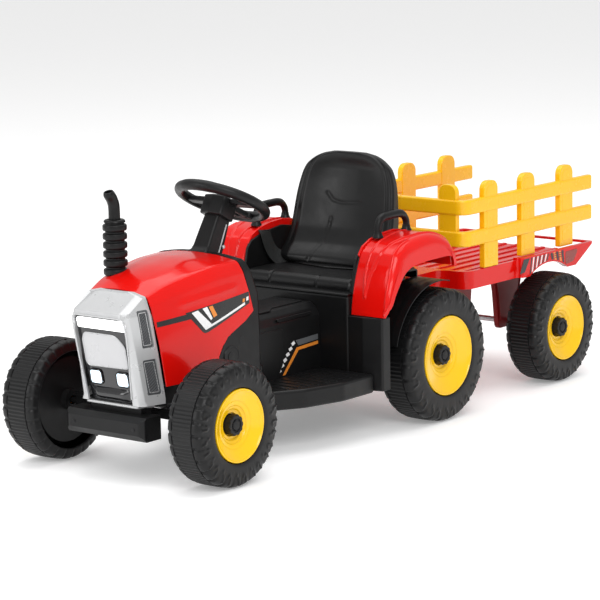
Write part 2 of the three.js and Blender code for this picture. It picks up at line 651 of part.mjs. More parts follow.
// the bar reaches from under the bed to the hitch, dropping on its way forward
function drawbar() {
  const side = [[HITCH.x - 14, HITCH.z - 6], [HITCH.x + 22, HITCH.z - 6], [252, 182], [330, 182],
    [330, 199.6],
    [240, 199.6], [HITCH.x + 14, HITCH.z + 6], [HITCH.x - 14, HITCH.z + 6]];
  const bar = sideSlab(side, -15, 15);
  return bar.subtract(rod(V(HITCH.x, 0, 100), V(HITCH.x, 0, 200), HITCH.r + 1));
}

const hitchPin = () => unite([
  rod(V(HITCH.x, 0, HITCH.z - 28), V(HITCH.x, 0, HITCH.z + 24), HITCH.r),
  rod(V(HITCH.x, 0, HITCH.z + 20.4), V(HITCH.x, 0, HITCH.z + 27), 12),
]);

// an L-shaped half of the fence: posts, and rails that bend round the front corner
function fence(s) {
  const { out, x, top, tail, rails, thick, bend: r } = FENCE;
  const line = (o) => {
    const arc = Array.from({ length: 6 }, (_, i) => {
      const t = (Math.PI / 10) * i;
      return [x + r - (r - o) * Math.cos(t), out - r + (r - o) * Math.sin(t)];
    });
    return [[x + o, 0.5], ...arc, [tail, out - o]];
  };
  const plan = [...line(0), ...line(thick).reverse()].map(([px, py]) => [px, s * py]);
  const bars = rails.map(([z0, z1]) => planSlab(plan, z0, z1));
  const posts = POSTS_X.map((px) => {
    const y = [s * (out - thick - 1), s * (out - 3)].sort((a, b) => a - b);
    const foot = (px < BED.step ? FRONT_RIM : BED.rim) + GAP;
    const face = [[px - 24, foot], [px + 24, foot], [px + 24, top - 12], [px + 14, top],
      [px - 14, top], [px - 24, top - 12]];
    return sideSlab(face, y[0], y[1]);
  });
  const fy = [s * 92, s * 134].sort((a, b) => a - b);
  const frontPost = box([x + 3, fy[0], rails[0][0]], [x + thick + 1, fy[1], top]);
  return unite([...bars, ...posts, frontPost]);
}

// ---- assembly ------------------------------------------------------------------
add('lower_body', lowerBody(), BLACK);
add('hood', hood(), RED);
add('grille_frame', grilleFrame(), SILVER);
add('grille_panel', grillePanel(), DARK);
add('light_bar', lightBar(), LIGHT);
add('display_panel', displayPanel(), PALE);
add('front_bumper', frontBumper(), BLACK);
add('muffler', muffler(), BLACK);
add('exhaust_pipe', exhaustPipe(), BLACK);
add('front_axle_beam', frontAxleBeam(), STEEL);
add('tie_rod', tieRod(), STEEL);
add('steering_shaft', steeringShaft(), STEEL);
add('steering_column_cover', columnCover(), BLACK);
add('steering_wheel', steeringWheel(), GRIP);
add('horn_button', hornButton(), DARK);
add('rear_axle', rearAxle(), STEEL);
add('battery', battery(), DARK);
add('seat_deck', seatDeck(), BLACK);
add('seat', seat(), BLACK);
add('power_button', powerButton(), RED);
add('direction_switch', directionSwitch(), DARK);
add('foot_pedal', footPedal(), DARK);
for (const [side, s] of SIDES) {
  add(`${side}_headlight`, headlight(s), LIGHT);
  add(`${side}_vent_insert`, ventInsert(s), GREY);
  add(`${side}_knuckle`, knuckle(s), STEEL);
  add(`${side}_gearbox`, gearbox(s), DARK);
  add(`${side}_fender`, fender(s), RED);
  add(`${side}_wheel_arch`, wheelArch(s), BLACK);
  add(`${side}_handle`, handle(s), GRIP);
  add(`${side}_fence`, fence(s), YELLOW);
  addWheel(`front_${side}`, FRONT, s, STUB_R + GAP);
  addWheel(`rear_${side}`, REAR, s, AXLE_R + GAP);
  addWheel(`trailer_${side}`, TRAIL, s, AXLE_R + GAP);
}
add('trailer_bed', trailerBed(), RED);
add('trailer_axle', trailerAxle(), STEEL);
add('drawbar', drawbar(), DARK);
add('hitch_pin', hitchPin(), STEEL);

export default group;
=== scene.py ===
"""Looks of the ride-on toy tractor and its trailer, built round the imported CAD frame.

Shapes are worked out in millimetres in the CAD frame (front towards -X, driver's left towards -Y)
and turned into metres when a mesh is made.
"""

import math

import bmesh
import bpy
import numpy as np
from mathutils import Matrix, Vector
from mathutils.bvhtree import BVHTree


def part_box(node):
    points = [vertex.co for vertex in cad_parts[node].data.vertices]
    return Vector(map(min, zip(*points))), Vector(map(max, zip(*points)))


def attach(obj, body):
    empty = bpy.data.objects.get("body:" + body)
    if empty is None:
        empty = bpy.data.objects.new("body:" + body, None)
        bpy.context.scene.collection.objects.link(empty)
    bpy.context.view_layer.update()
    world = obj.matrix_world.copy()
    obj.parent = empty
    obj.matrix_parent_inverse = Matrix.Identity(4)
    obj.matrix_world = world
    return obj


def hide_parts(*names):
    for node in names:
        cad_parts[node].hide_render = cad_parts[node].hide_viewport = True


MM = 0.001
SIDES = (("left", -1), ("right", 1))

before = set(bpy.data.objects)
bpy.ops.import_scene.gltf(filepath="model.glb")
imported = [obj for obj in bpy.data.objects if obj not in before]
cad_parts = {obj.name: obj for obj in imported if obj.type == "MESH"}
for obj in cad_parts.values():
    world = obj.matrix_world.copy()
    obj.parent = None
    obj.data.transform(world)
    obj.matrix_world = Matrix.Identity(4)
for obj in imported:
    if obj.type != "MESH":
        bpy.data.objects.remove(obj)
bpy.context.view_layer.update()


def box_mm(node):
    """Lowest and highest corner of a CAD node, in millimetres."""
    lo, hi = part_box(node)
    return lo / MM, hi / MM


# ---- materials -------------------------------------------------------------
def principled(name):
    material = bpy.data.materials.new(name)
    material.use_nodes = True
    tree = material.node_tree
    return material, tree, tree.nodes["Principled BSDF"]


def noise(tree, scale, detail=3.0, roughness=0.55, stretch=(1, 1, 1)):
    """A noise in object space, finer as scale grows."""
    coords = tree.nodes.new("ShaderNodeTexCoord")
    mapping = tree.nodes.new("ShaderNodeMapping")
    mapping.inputs["Scale"].default_value = stretch
    texture = tree.nodes.new("ShaderNodeTexNoise")
    texture.inputs["Scale"].default_value = scale
    texture.inputs["Detail"].default_value = detail
    texture.inputs["Roughness"].default_value = roughness
    tree.links.new(coords.outputs["Object"], mapping.inputs["Vector"])
    tree.links.new(mapping.outputs["Vector"], texture.inputs["Vector"])
    return texture.outputs["Fac"]


def ramp(tree, source, stops):
    """Colours from a 0 to 1 value; stops are (position, colour)."""
    node = tree.nodes.new("ShaderNodeValToRGB")
    elements = node.color_ramp.elements
    while len(elements) < len(stops):
        elements.new(0.5)
    for element, (position, colour) in zip(elements, stops):
        element.position = position
        element.color = (*colour, 1)
    tree.links.new(source, node.inputs["Fac"])
    return node.outputs["Color"]


def spread(tree, source, low, high):
    node = tree.nodes.new("ShaderNodeMapRange")
    node.inputs["From Min"].default_value = 0.3
    node.inputs["From Max"].default_value = 0.7
    node.inputs["To Min"].default_value = low
    node.inputs["To Max"].default_value = high
    tree.links.new(source, node.inputs["Value"])
    return node.outputs["Result"]


def add_bump(tree, shader, layers):
    """Stacks bumps; layers are (height source, depth in mm)."""
    normal = None
    for source, depth in layers:
        bump = tree.nodes.new("ShaderNodeBump")
        bump.inputs["Strength"].default_value = 1.0
        bump.inputs["Distance"].default_value = depth * MM
        tree.links.new(source, bump.inputs["Height"])
        if normal is not None:
            tree.links.new(normal, bump.inputs["Normal"])
        normal = bump.outputs["Normal"]
    tree.links.new(normal, shader.inputs["Normal"])


def shade(colour, factor):
    return tuple(min(1.0, c * factor) for c in colour)


def moulded(name, colour, rough, grain=0.05, wave=0.25, vary=0.08, coat=0.0, metallic=0.0, specular=0.5):
    """Moulded plastic: slow colour drift, slight waviness and a fine surface grain."""
    material, tree, shader = principled(name)
    drift = noise(tree, 9, 4)
    fine = noise(tree, 900, 2)
    stops = [(0.3, shade(colour, 1 - vary)), (0.7, shade(colour, 1 + vary))]
    tree.links.new(ramp(tree, drift, stops), shader.inputs["Base Color"])
    tree.links.new(spread(tree, noise(tree, 45, 3), rough * 0.85, rough * 1.15), shader.inputs["Roughness"])
    shader.inputs["Coat Weight"].default_value = coat
    shader.inputs["Coat Roughness"].default_value = 0.06
    shader.inputs["Metallic"].default_value = metallic
    shader.inputs["Specular IOR Level"].default_value = specular
    add_bump(tree, shader, [(noise(tree, 14, 1), wave), (fine, grain)])
    return material


def brushed(name, colour, rough):
    """Rolled steel with fine lines along it."""
    material, tree, shader = principled(name)
    lines = noise(tree, 60, 3, stretch=(1, 12, 12))
    tree.links.new(ramp(tree, lines, [(0.3, shade(colour, 0.8)), (0.7, shade(colour, 1.1))]),
                   shader.inputs["Base Color"])
    tree.links.new(spread(tree, lines, rough * 0.8, rough * 1.3), shader.inputs["Roughness"])
    shader.inputs["Metallic"].default_value = 1.0
    add_bump(tree, shader, [(lines, 0.03)])
    return material


def lens(name, colour, strength):
    """A lit translucent lens with a soft ribbed pattern."""
    material, tree, shader = principled(name)
    ribs = noise(tree, 160, 2, stretch=(1, 3, 1))
    tinted = ramp(tree, ribs, [(0.3, shade(colour, 0.82)), (0.65, colour)])
    tree.links.new(tinted, shader.inputs["Base Color"])
    tree.links.new(tinted, shader.inputs["Emission Color"])
    shader.inputs["Emission Strength"].default_value = strength
    shader.inputs["Roughness"].default_value = 0.12
    add_bump(tree, shader, [(ribs, 0.1)])
    return material


def woven(name, colour):
    """Flat belt webbing: crossed threads."""
    material, tree, shader = principled(name)
    coords = tree.nodes.new("ShaderNodeTexCoord")
    waves = []
    for axis in ("X", "Z"):
        wave = tree.nodes.new("ShaderNodeTexWave")
        wave.bands_direction = axis
        wave.inputs["Scale"].default_value = 280
        tree.links.new(coords.outputs["Object"], wave.inputs["Vector"])
        waves.append(wave.outputs["Fac"])
    both = tree.nodes.new("ShaderNodeMath")
    both.operation = "MULTIPLY"
    tree.links.new(waves[0], both.inputs[0])
    tree.links.new(waves[1], both.inputs[1])
    tree.links.new(ramp(tree, both.outputs[0], [(0, shade(colour, 0.7)), (1, shade(colour, 1.3))]),
                   shader.inputs["Base Color"])
    shader.inputs["Roughness"].default_value = 0.75
    add_bump(tree, shader, [(both.outputs[0], 0.3)])
    return material


RED = moulded("gloss_red", (0.66, 0.004, 0.002), 0.20, grain=0.01, wave=0.35, vary=0.05, coat=0.3,
              specular=0.15)
# A darker copy of the gloss red that paints shade on the trailer's legs, the block under its tongue and the
# drawbar.
SHADE_PAINTED_RED = moulded("shaded_red", (0.20, 0.004, 0.004), 0.38, grain=0.02, vary=0.08, specular=0.25)
YELLOW = moulded("warm_yellow", (0.90, 0.49, 0.006), 0.26, grain=0.02, wave=0.3, vary=0.04, coat=0.2,
                 specular=0.3)
RIM_YELLOW = moulded("rim_yellow", (0.88, 0.52, 0.004), 0.2, grain=0.01, wave=0.2, vary=0.03, coat=0.3,
                     specular=0.3)
BLACK = moulded("body_black", (0.0062, 0.0062, 0.0065), 0.36, grain=0.05, wave=0.25, vary=0.18, specular=0.22)
SEAT_BLACK = moulded("seat_black", (0.0058, 0.0058, 0.0060), 0.34, grain=0.04, wave=0.3, vary=0.18,
                     specular=0.25)
TYRE_BLACK = moulded("tyre_black", (0.0062, 0.0062, 0.0065), 0.36, grain=0.07, wave=0.15, vary=0.2,
                     specular=0.25)
GRIP_BLACK = moulded("grip_black", (0.0068, 0.0068, 0.0072), 0.40, grain=0.1, wave=0.2, vary=0.2,
                     specular=0.25)
GLOSS_BLACK = moulded("gloss_black", (0.006, 0.006, 0.007), 0.12, grain=0.0, wave=0.2, vary=0.15, coat=0.5)
SILVER = moulded("silver_paint", (0.50, 0.505, 0.51), 0.30, grain=0.02, wave=0.2, vary=0.03, coat=0.25,
                 metallic=0.35)
VENT = moulded("vent_grey", (0.085, 0.088, 0.093), 0.35, grain=0.05, vary=0.15, metallic=0.3)
PALE = moulded("pale_panel", (0.52, 0.52, 0.53), 0.3, grain=0.02, wave=0.1, vary=0.03)
STEEL = brushed("plated_steel", (0.55, 0.56, 0.58), 0.28)
CASE = moulded("case_black", (0.010, 0.010, 0.011), 0.5, grain=0.08, vary=0.15, specular=0.25)
LAMP = lens("lit_bar", (1.0, 1.0, 1.0), 2.2)
HEADLAMP = lens("lit_lamp", (0.72, 0.88, 1.0), 1.9)
BELT = woven("belt_webbing", (0.010, 0.011, 0.011))
INK_BLACK = moulded("print_black", (0.010, 0.010, 0.010), 0.22, grain=0.0, wave=0.1, vary=0.1)
INK_WHITE = moulded("print_white", (0.80, 0.80, 0.80), 0.25, grain=0.0, wave=0.1, vary=0.03)
INK_ORANGE = moulded("print_orange", (0.75, 0.24, 0.03), 0.25, grain=0.0, wave=0.1, vary=0.05)
INK_GREY = moulded("print_grey", (0.10, 0.105, 0.11), 0.3, grain=0.0, wave=0.1, vary=0.05)
INK_DARK_RED = moulded("reflector_red", (0.26, 0.03, 0.02), 0.25, grain=0.04, wave=0.1, vary=0.1)
BUTTON = moulded("button_red", (0.5, 0.02, 0.02), 0.25, grain=0.02)


# ---- curves ------------------------------------------------------------------
def eased(xs, ys):
    """A smooth curve through points that never overshoots them."""
    xs, ys = np.array(xs, float), np.array(ys, float)
    gap = np.diff(xs)
    slope = np.diff(ys) / gap
    tangent = np.concatenate([slope[:1], np.zeros(len(slope) - 1), slope[-1:]])
    for i in range(1, len(slope)):
        a, b = slope[i - 1], slope[i]
        tangent[i] = 2 * a * b / (a + b) if a * b > 0 else 0

    def at(x):
        x = min(max(x, xs[0]), xs[-1])
        i = min(max(int(np.searchsorted(xs, x)) - 1, 0), len(gap) - 1)
        t = (x - xs[i]) / gap[i]
        h = gap[i]
        return float((1 + 2 * t) * (1 - t) ** 2 * ys[i] + t * (1 - t) ** 2 * h * tangent[i]
                     + t * t * (3 - 2 * t) * ys[i + 1] + t * t * (t - 1) * h * tangent[i + 1])
    return at


def smooth_path(points, per=8, closed=False):
    """Catmull-Rom curve through points of any dimension."""
    p = np.array(points, float)
    n = len(p)
    if closed:
        ext = np.concatenate([p[-1:], p, p[:2]])
        spans = n
    else:
        ext = np.concatenate([2 * p[:1] - p[1:2], p, 2 * p[-1:] - p[-2:-1]])
        spans = n - 1
    out = []
    for i in range(spans):
        a, b, c, d = ext[i:i + 4]
        for t in np.arange(per) / per:
            out.append(0.5 * (2 * b + (c - a) * t + (2 * a - 5 * b + 4 * c - d) * t ** 2
                              + (3 * b - a - 3 * c + d) * t ** 3))
    if not closed:
        out.append(p[-1])
    return np.array(out)


def resample(path, shares):
    """Points of a polyline at given shares of its length."""
    step = np.concatenate([[0], np.cumsum(np.linalg.norm(np.diff(path, axis=0), axis=1))])
    want = np.array(shares) * step[-1]
    return np.stack([np.interp(want, step, path[:, k]) for k in range(path.shape[1])], axis=1)


def rounded(points, radius, closed=True, steps=4):
    """An outline whose corners are arcs; a point may carry its own radius as a third value."""
    n = len(points)
    out = []
    for i, point in enumerate(points):
        p = np.array(point[:2], float)
        r = point[2] if len(point) > 2 else radius
        if r <= 0 or (not closed and i in (0, n - 1)):
            out.append(tuple(p))
            continue
        a = np.array(points[i - 1][:2], float) - p
        b = np.array(points[(i + 1) % n][:2], float) - p
        la, lb = np.linalg.norm(a), np.linalg.norm(b)
        a, b = a / la, b / lb
        angle = math.acos(max(-1, min(1, float(a @ b))))
        if math.pi - angle < 0.02:
            out.append(tuple(p))
            continue
        reach = min(r / math.tan(angle / 2), 0.48 * la, 0.48 * lb)
        r = reach * math.tan(angle / 2)
        middle = (a + b) / np.linalg.norm(a + b)
        centre = p + middle * r / math.sin(angle / 2)
        start, end = p + a * reach - centre, p + b * reach - centre
        turn = math.pi - angle
        for k in range(steps + 1):
            t = k / steps
            v = (math.sin((1 - t) * turn) * start + math.sin(t * turn) * end) / math.sin(turn)
            out.append(tuple(centre + v))
    return out


def mirror(half):
    """Half an outline of (side, height) completed by its mirror image."""
    return [*half, *[(-p[0], *p[1:]) for p in reversed(half)]]


def mirror_plan(half):
    """Half a plan outline of (x, y) completed by its mirror image."""
    return [*half, *[(p[0], -p[1], *p[2:]) for p in reversed(half)]]


# ---- meshes -------------------------------------------------------------------
PLACE = {
    "x": lambda u, v, w: (w, u, v),
    "y": lambda u, v, w: (u, w, v),
    "z": lambda u, v, w: (u, v, w),
}


def mesh_of(verts, faces):
    bm = bmesh.new()
    made = [bm.verts.new(Vector(v) * MM) for v in verts]
    for face in faces:
        if len(set(face)) == len(face):
            bm.faces.new([made[i] for i in face])
    return bm


def soften(bm, width, steps=2, angle=32):
    """Rounds the sharp edges."""
    sharp = [e for e in bm.edges if len(e.link_faces) == 2 and e.calc_face_angle(0) > math.radians(angle)]
    bmesh.ops.bevel(bm, geom=sharp, offset=width * MM, segments=steps, profile=0.5, affect="EDGES",
                    clamp_overlap=True)
    return bm


def prism(outline, put, lo, hi, bevel, steps):
    """An outline carried from lo to hi, where put(u, v, w) places its points; its sharp edges are rounded."""
    n = len(outline)
    verts = [put(u, v, lo) for u, v in outline] + [put(u, v, hi) for u, v in outline]
    faces = [tuple(range(n)), tuple(range(2 * n - 1, n - 1, -1))]
    faces += [(i, i + n, (i + 1) % n + n, (i + 1) % n) for i in range(n)]
    bm = mesh_of(verts, faces)
    bmesh.ops.recalc_face_normals(bm, faces=bm.faces)
    return soften(bm, bevel, steps) if bevel else bm


def slab(outline, axis, lo, hi, bevel=1.5, steps=2):
    return prism(outline, PLACE[axis], lo, hi, bevel, steps)


def side_slab(outline, s, near, far, bevel=1.5, steps=2):
    """A slab of (x, z) points on side s, -1 left and 1 right, between two distances from the middle."""
    return slab(outline, "y", *sorted((s * near, s * far)), bevel, steps)


def block(lo, hi, bevel=2.0, steps=2):
    outline = [(lo[0], lo[1]), (hi[0], lo[1]), (hi[0], hi[1]), (lo[0], hi[1])]
    return slab(outline, "z", lo[2], hi[2], bevel, steps)


def grid(rows, loop_rows=False, loop_columns=False, caps=False):
    """A quad surface over rows of points."""
    rows = [[tuple(p) for p in row] for row in rows]
    m, n = len(rows), len(rows[0])
    verts = [p for row in rows for p in row]
    faces = []
    for i in range(m if loop_rows else m - 1):
        for j in range(n if loop_columns else n - 1):
            a, b = i * n + j, i * n + (j + 1) % n
            c, d = (i + 1) % m * n + (j + 1) % n, (i + 1) % m * n + j
            faces.append((a, b, c, d))
    if caps:
        faces += [tuple(range(n - 1, -1, -1)), tuple(range((m - 1) * n, m * n))]
    bm = mesh_of(verts, faces)
    if caps or (loop_rows and loop_columns):
        bmesh.ops.recalc_face_normals(bm, faces=bm.faces)
    return bm


def sweep(path, section, caps=True):
    """A section of (side, up) offsets carried along a 3-D path, with its up kept as steady as it can."""
    path = np.array(path, float)
    rows = []
    up = None
    for i, point in enumerate(path):
        ahead = path[min(i + 1, len(path) - 1)] - path[max(i - 1, 0)]
        ahead = ahead / np.linalg.norm(ahead)
        if up is None:
            seed = np.array([0, 1, 0]) if abs(ahead[1]) < 0.9 else np.array([0, 0, 1])
            up = seed
        up = up - ahead * float(up @ ahead)
        up = up / np.linalg.norm(up)
        side = np.cross(up, ahead)
        rows.append([point + side * u + up * v for u, v in section(i / (len(path) - 1))])
    return grid(rows, loop_columns=True, caps=caps)


def circle(r, n=20, squash=1.0):
    return [(r * math.cos(2 * math.pi * k / n), r * squash * math.sin(2 * math.pi * k / n)) for k in range(n)]


def bead(path, r, n, caps=True):
    """A round rod along a path."""
    return sweep(path, lambda t: circle(r, n), caps)


def lathe(profile, steps=64, origin=(0, 0, 0), axis=(0, 0, 1)):
    """A profile of (radius, height) turned about an axis; ends on the axis are closed there."""
    axis = np.array(axis, float) / np.linalg.norm(axis)
    seed = np.array([1, 0, 0]) if abs(axis[0]) < 0.9 else np.array([0, 1, 0])
    side = np.cross(axis, seed)
    side = side / np.linalg.norm(side)
    other = np.cross(axis, side)
    origin = np.array(origin, float)
    rows = []
    for r, h in profile:
        row = [origin + axis * h + max(r, 0.02) * (side * math.cos(t) + other * math.sin(t))
               for t in np.arange(steps) * 2 * math.pi / steps]
        rows.append(row)
    return grid(rows, loop_columns=True, caps=True)


def cut_away(bm, cutters):
    """Cuts solids out of a solid, by modifiers on throwaway objects."""
    def loose(source, name):
        mesh = bpy.data.meshes.new(name)
        source.to_mesh(mesh)
        source.free()
        obj = bpy.data.objects.new(name, mesh)
        bpy.context.scene.collection.objects.link(obj)
        return obj

    target = loose(bm, "cut_target")
    helpers = []
    for i, cutter in enumerate(cutters):
        helper = loose(cutter, f"cutter_{i}")
        modifier = target.modifiers.new(f"cut_{i}", "BOOLEAN")
        modifier.operation = "DIFFERENCE"
        modifier.solver = "EXACT"
        modifier.object = helper
        helpers.append(helper)
    result = target.evaluated_get(bpy.context.evaluated_depsgraph_get())
    out = bmesh.new()
    mesh = bpy.data.meshes.new_from_object(result)
    out.from_mesh(mesh)
    bpy.data.meshes.remove(mesh)
    for obj in [target, *helpers]:
        bpy.data.objects.remove(obj)
    bmesh.ops.remove_doubles(out, verts=out.verts, dist=0.06 * MM)
    bmesh.ops.dissolve_degenerate(out, dist=0.06 * MM, edges=out.edges)
    bmesh.ops.dissolve_limit(out, angle_limit=math.radians(1.5), verts=out.verts, edges=out.edges)
    bmesh.ops.triangulate(out, faces=[f for f in out.faces if len(f.verts) > 4])
    return out


def shell(bm, thickness):
    """Gives an open surface its thickness, behind its faces."""
    bmesh.ops.recalc_face_normals(bm, faces=bm.faces)
    bm.normal_update()
    bm.verts.index_update()
    outer, faces = list(bm.verts), list(bm.faces)
    open_loops = [e.link_loops[0] for e in bm.edges if e.is_boundary]
    rims = [(loop.vert.index, loop.link_loop_next.vert.index) for loop in open_loops]
    inner = [bm.verts.new(v.co - v.normal * thickness * MM) for v in outer]
    for face in faces:
        bm.faces.new([inner[v.index] for v in reversed(face.verts)])
    for a, b in rims:
        bm.faces.new([outer[b], outer[a], inner[a], inner[b]])
    return bm


def piece(name, body, parts, replaced=(), angle=38, weighted=True):
    """Joins parts, (mesh, material) pairs, into one shown object that rides on a CAD body."""
    whole = bmesh.new()
    materials = []
    for bm, material in parts:
        if material not in materials:
            materials.append(material)
        for face in bm.faces:
            face.material_index = materials.index(material)
            face.smooth = True
        part = bpy.data.meshes.new("part")
        bm.to_mesh(part)
        bm.free()
        whole.from_mesh(part)
        bpy.data.meshes.remove(part)
    mesh = bpy.data.meshes.new(name)
    whole.to_mesh(mesh)
    whole.free()
    for material in materials:
        mesh.materials.append(material)
    mesh.set_sharp_from_angle(angle=math.radians(angle))
    obj = bpy.data.objects.new(name, mesh)
    bpy.context.scene.collection.objects.link(obj)
    if weighted:
        modifier = obj.modifiers.new("even_normals", "WEIGHTED_NORMAL")
        modifier.keep_sharp = True
    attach(obj, body)
    if replaced:
        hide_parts(*replaced)
    return obj


def bump01(x, half, soft):
    """1 inside half, falling to 0 over the next soft."""
    t = min(max((half + soft - abs(x)) / soft, 0), 1)
    return t * t * (3 - 2 * t)


# ---- wheels ---------------------------------------------------------------------
LOBES = 28
COLUMNS_PER_LOBE = 14
RIB_COLUMNS = 4
TYRE_W = 80


def tyre_rows(R, rim):
    """Rows of (radius, height, lug weight, rib weight) from the bead, over the tread and into the hollow."""
    rows = [(rim + 0.6, -9, 0, 0), (rim + 0.6, -3.5, 0, 0), (rim + 1.6, -1.9, 0, 0), (rim + 3.6, -1.3, 0, 0),
            (rim + 7, -0.8, 0, 0)]
    wall_end = R - 12
    for t in np.linspace(0, 1, 13)[1:]:
        r = rim + 7 + (wall_end - rim - 7) * t
        rows.append((r, -0.6 - 1.6 * t ** 3, 0.15 * t, 0))
    for t in np.linspace(0, 1, 9)[1:]:
        a = t * math.pi / 2
        rows.append((wall_end + 11.2 * math.sin(a) ** 0.9, -2.2 - 15 * (1 - math.cos(a)), min(1, 0.3 + t), 0))
    rows += [(R - 0.8, -18.6, 0.9, 0), (R - 2.6, -19.4, 0, 0), (R - 2.6, -20.6, 0, 0)]
    rows += [(R - 0.9, -21.2, 0, 0), (R - 0.4, -22.4, 0, 1), (R - 0.2, -42, 0, 1), (R - 0.4, -61.4, 0, 1)]
    rows += [(R - 0.9, -62.6, 0, 0), (R - 2.6, -63.2, 0, 0), (R - 2.6, -64.4, 0, 0), (R - 0.8, -65.2, 0.9, 0)]
    for t in np.linspace(0, 1, 8)[1:]:
        a = t * math.pi / 2
        rows.append((R - 0.8 - 11.2 * (1 - math.cos(a)), -65.2 - 13.2 * math.sin(a), 1 - 0.4 * t, 0))
    rows += [(R - 16, -79.6, 0.2, 0), (R - 20, -TYRE_W, 0, 0), (R - 21.5, -79.2, 0, 0), (R - 22, -77.6, 0, 0),
             (R - 21, -74, 0, 0), (R - 9, -64, 0, 0), (R - 6.5, -58, 0, 0), (R - 6.5, -26, 0, 0),
             (R - 12, -17, 0, 0), (rim + 5, -12, 0, 0)]
    return rows


def tread_marks(lobe_share, inward, R):
    """Height of the raised hooks and dots on the side wall; inward is the distance below the tread."""
    pitch = 2 * math.pi * R / (LOBES / 2)
    s = lobe_share * pitch
    d = inward

    def stroke(s0, d0, s1, d1, wide):
        vx, vy = s1 - s0, d1 - d0
        t = min(max(((s - s0) * vx + (d - d0) * vy) / (vx * vx + vy * vy), 0), 1)
        return math.hypot(s - s0 - t * vx, d - d0 - t * vy) - wide

    near = min(stroke(9, 8, 10, 20, 1.2), stroke(10, 20, 15, 23, 1.4), stroke(15, 23, 18.5, 20, 1.3),
               stroke(31, 8, 32, 17, 1.2), stroke(32, 17, 36, 18.5, 1.3), stroke(40, 23.5, 40.4, 25, 1.9))
    return 1.5 * bump01(max(near, 0), 0, 1.6)


def tyre_mesh(R, rim):
    """A tyre with its lobes, ribs and raised marks, and the black disc that closes the wheel's inner side."""
    rows = tyre_rows(R, rim)
    flat = np.array([(r, h) for r, h, _, _ in rows])
    ahead = np.roll(flat, -1, axis=0) - np.roll(flat, 1, axis=0)
    ahead[0], ahead[-1] = flat[1] - flat[0], flat[-1] - flat[-2]
    normal = np.stack([-ahead[:, 1], ahead[:, 0]], axis=1)
    normal /= np.linalg.norm(normal, axis=1)[:, None]
    columns = LOBES * COLUMNS_PER_LOBE
    made = []
    for (r, h, lug, rib), (nr, nh) in zip(rows, normal):
        row = []
        for c in range(columns):
            lobe = c / COLUMNS_PER_LOBE
            gap = 1 - bump01(lobe % 1 - 0.5, 0.33, 0.09)
            groove = 1 if c % RIB_COLUMNS in (0, 1) else 0
            out = -2.4 * lug * gap - 1.5 * rib * groove
            if h > -19 and R - 30 < r < R - 5:
                out += tread_marks((c / COLUMNS_PER_LOBE / 2) % 1, R - r, R)
            rr, hh = r + nr * out, min(h + nh * out, 0)
            t = 2 * math.pi * c / columns
            row.append((rr * math.cos(t), hh, rr * math.sin(t)))
        made.append(row)
    back = [(rim + 12, -68), (rim + 4, -66), (rim - 4, -60), (44, -57), (38, -60), (24, -62), (20, -66),
            (18.6, -79.6), (8.4, -79.8), (8.4, -73), (16.4, -72), (16.4, -58), (24, -57), (38, -55),
            (rim - 6, -54), (rim + 10, -60)]
    inner = lathe(back, axis=(0, 1, 0))
    tyre = grid(made, loop_rows=True, loop_columns=True)
    disc = bpy.data.meshes.new("disc")
    inner.to_mesh(disc)
    inner.free()
    tyre.from_mesh(disc)
    bpy.data.meshes.remove(disc)
    return tyre


def rim_mesh(rim):
    e = rim - 0.6
    bore = 7
    profile = [(e, -9), (e, -1.6), (e - 0.7, -0.7), (e - 2.2, -0.7), (e - 3.2, -1.8), (e - 4.4, -3.2),
               (e - 6, -4.2)]
    slope_end = 43
    for t in np.linspace(0, 1, 9)[1:]:
        profile.append((e - 6 + (slope_end - e + 6) * t, -4.2 - 8.4 * t ** 0.85))
    profile += [(42.2, -13.6), (41, -14.3), (39, -14.6), (35.4, -15.4), (34.4, -16.2), (33.6, -17.6),
                (32, -18.4), (29.4, -18.9), (28.2, -19.8), (27.2, -21.6), (26, -22.4), (23.4, -22.8),
                (22, -22.4), (21, -22.8), (20.4, -24), (20.2, -30), (bore, -30), (bore, -70),
                (bore + 9, -70), (bore + 9, -34), (e - 18, -25), (e - 4, -14)]
    turn = np.arange(96) * 2 * math.pi / 96
    rows = [[(r * math.cos(t), h, r * math.sin(t)) for t in turn] for r, h in profile]
    return grid(rows, loop_rows=True, loop_columns=True)


def hub_cap_mesh():
    """A knob with ten scallops round a recessed hexagon."""
    teeth, steps = 10, 80
    turn = np.arange(steps) * 2 * math.pi / steps

    def ring(r, h, wave):
        scallop = r + wave * np.cos(teeth * turn)
        return list(zip(scallop * np.cos(turn), np.full(steps, h), scallop * np.sin(turn)))

    rows = [ring(18.2, -29.4, 0.0), ring(18.2, -20, 0.0), ring(18.3, -14, 1.0), ring(18.3, -10.6, 1.0),
            ring(17.4, -9.4, 0.9), ring(15.6, -9.1, 0.6), ring(12.6, -9.4, 0), ring(11.8, -11.4, 0),
            ring(9.4, -12.2, 0)]
    for r, h in [(8.6, -12.2), (8.3, -9.8), (7.6, -9.2), (0.2, -9.2)]:
        hexagon = r / np.maximum(np.cos((turn + math.pi / 6) % (math.pi / 3) - math.pi / 6), 0.8)
        rows.append(list(zip(hexagon * np.cos(turn), np.full(steps, h), hexagon * np.sin(turn))))
    return grid(rows, loop_columns=True, caps=True)


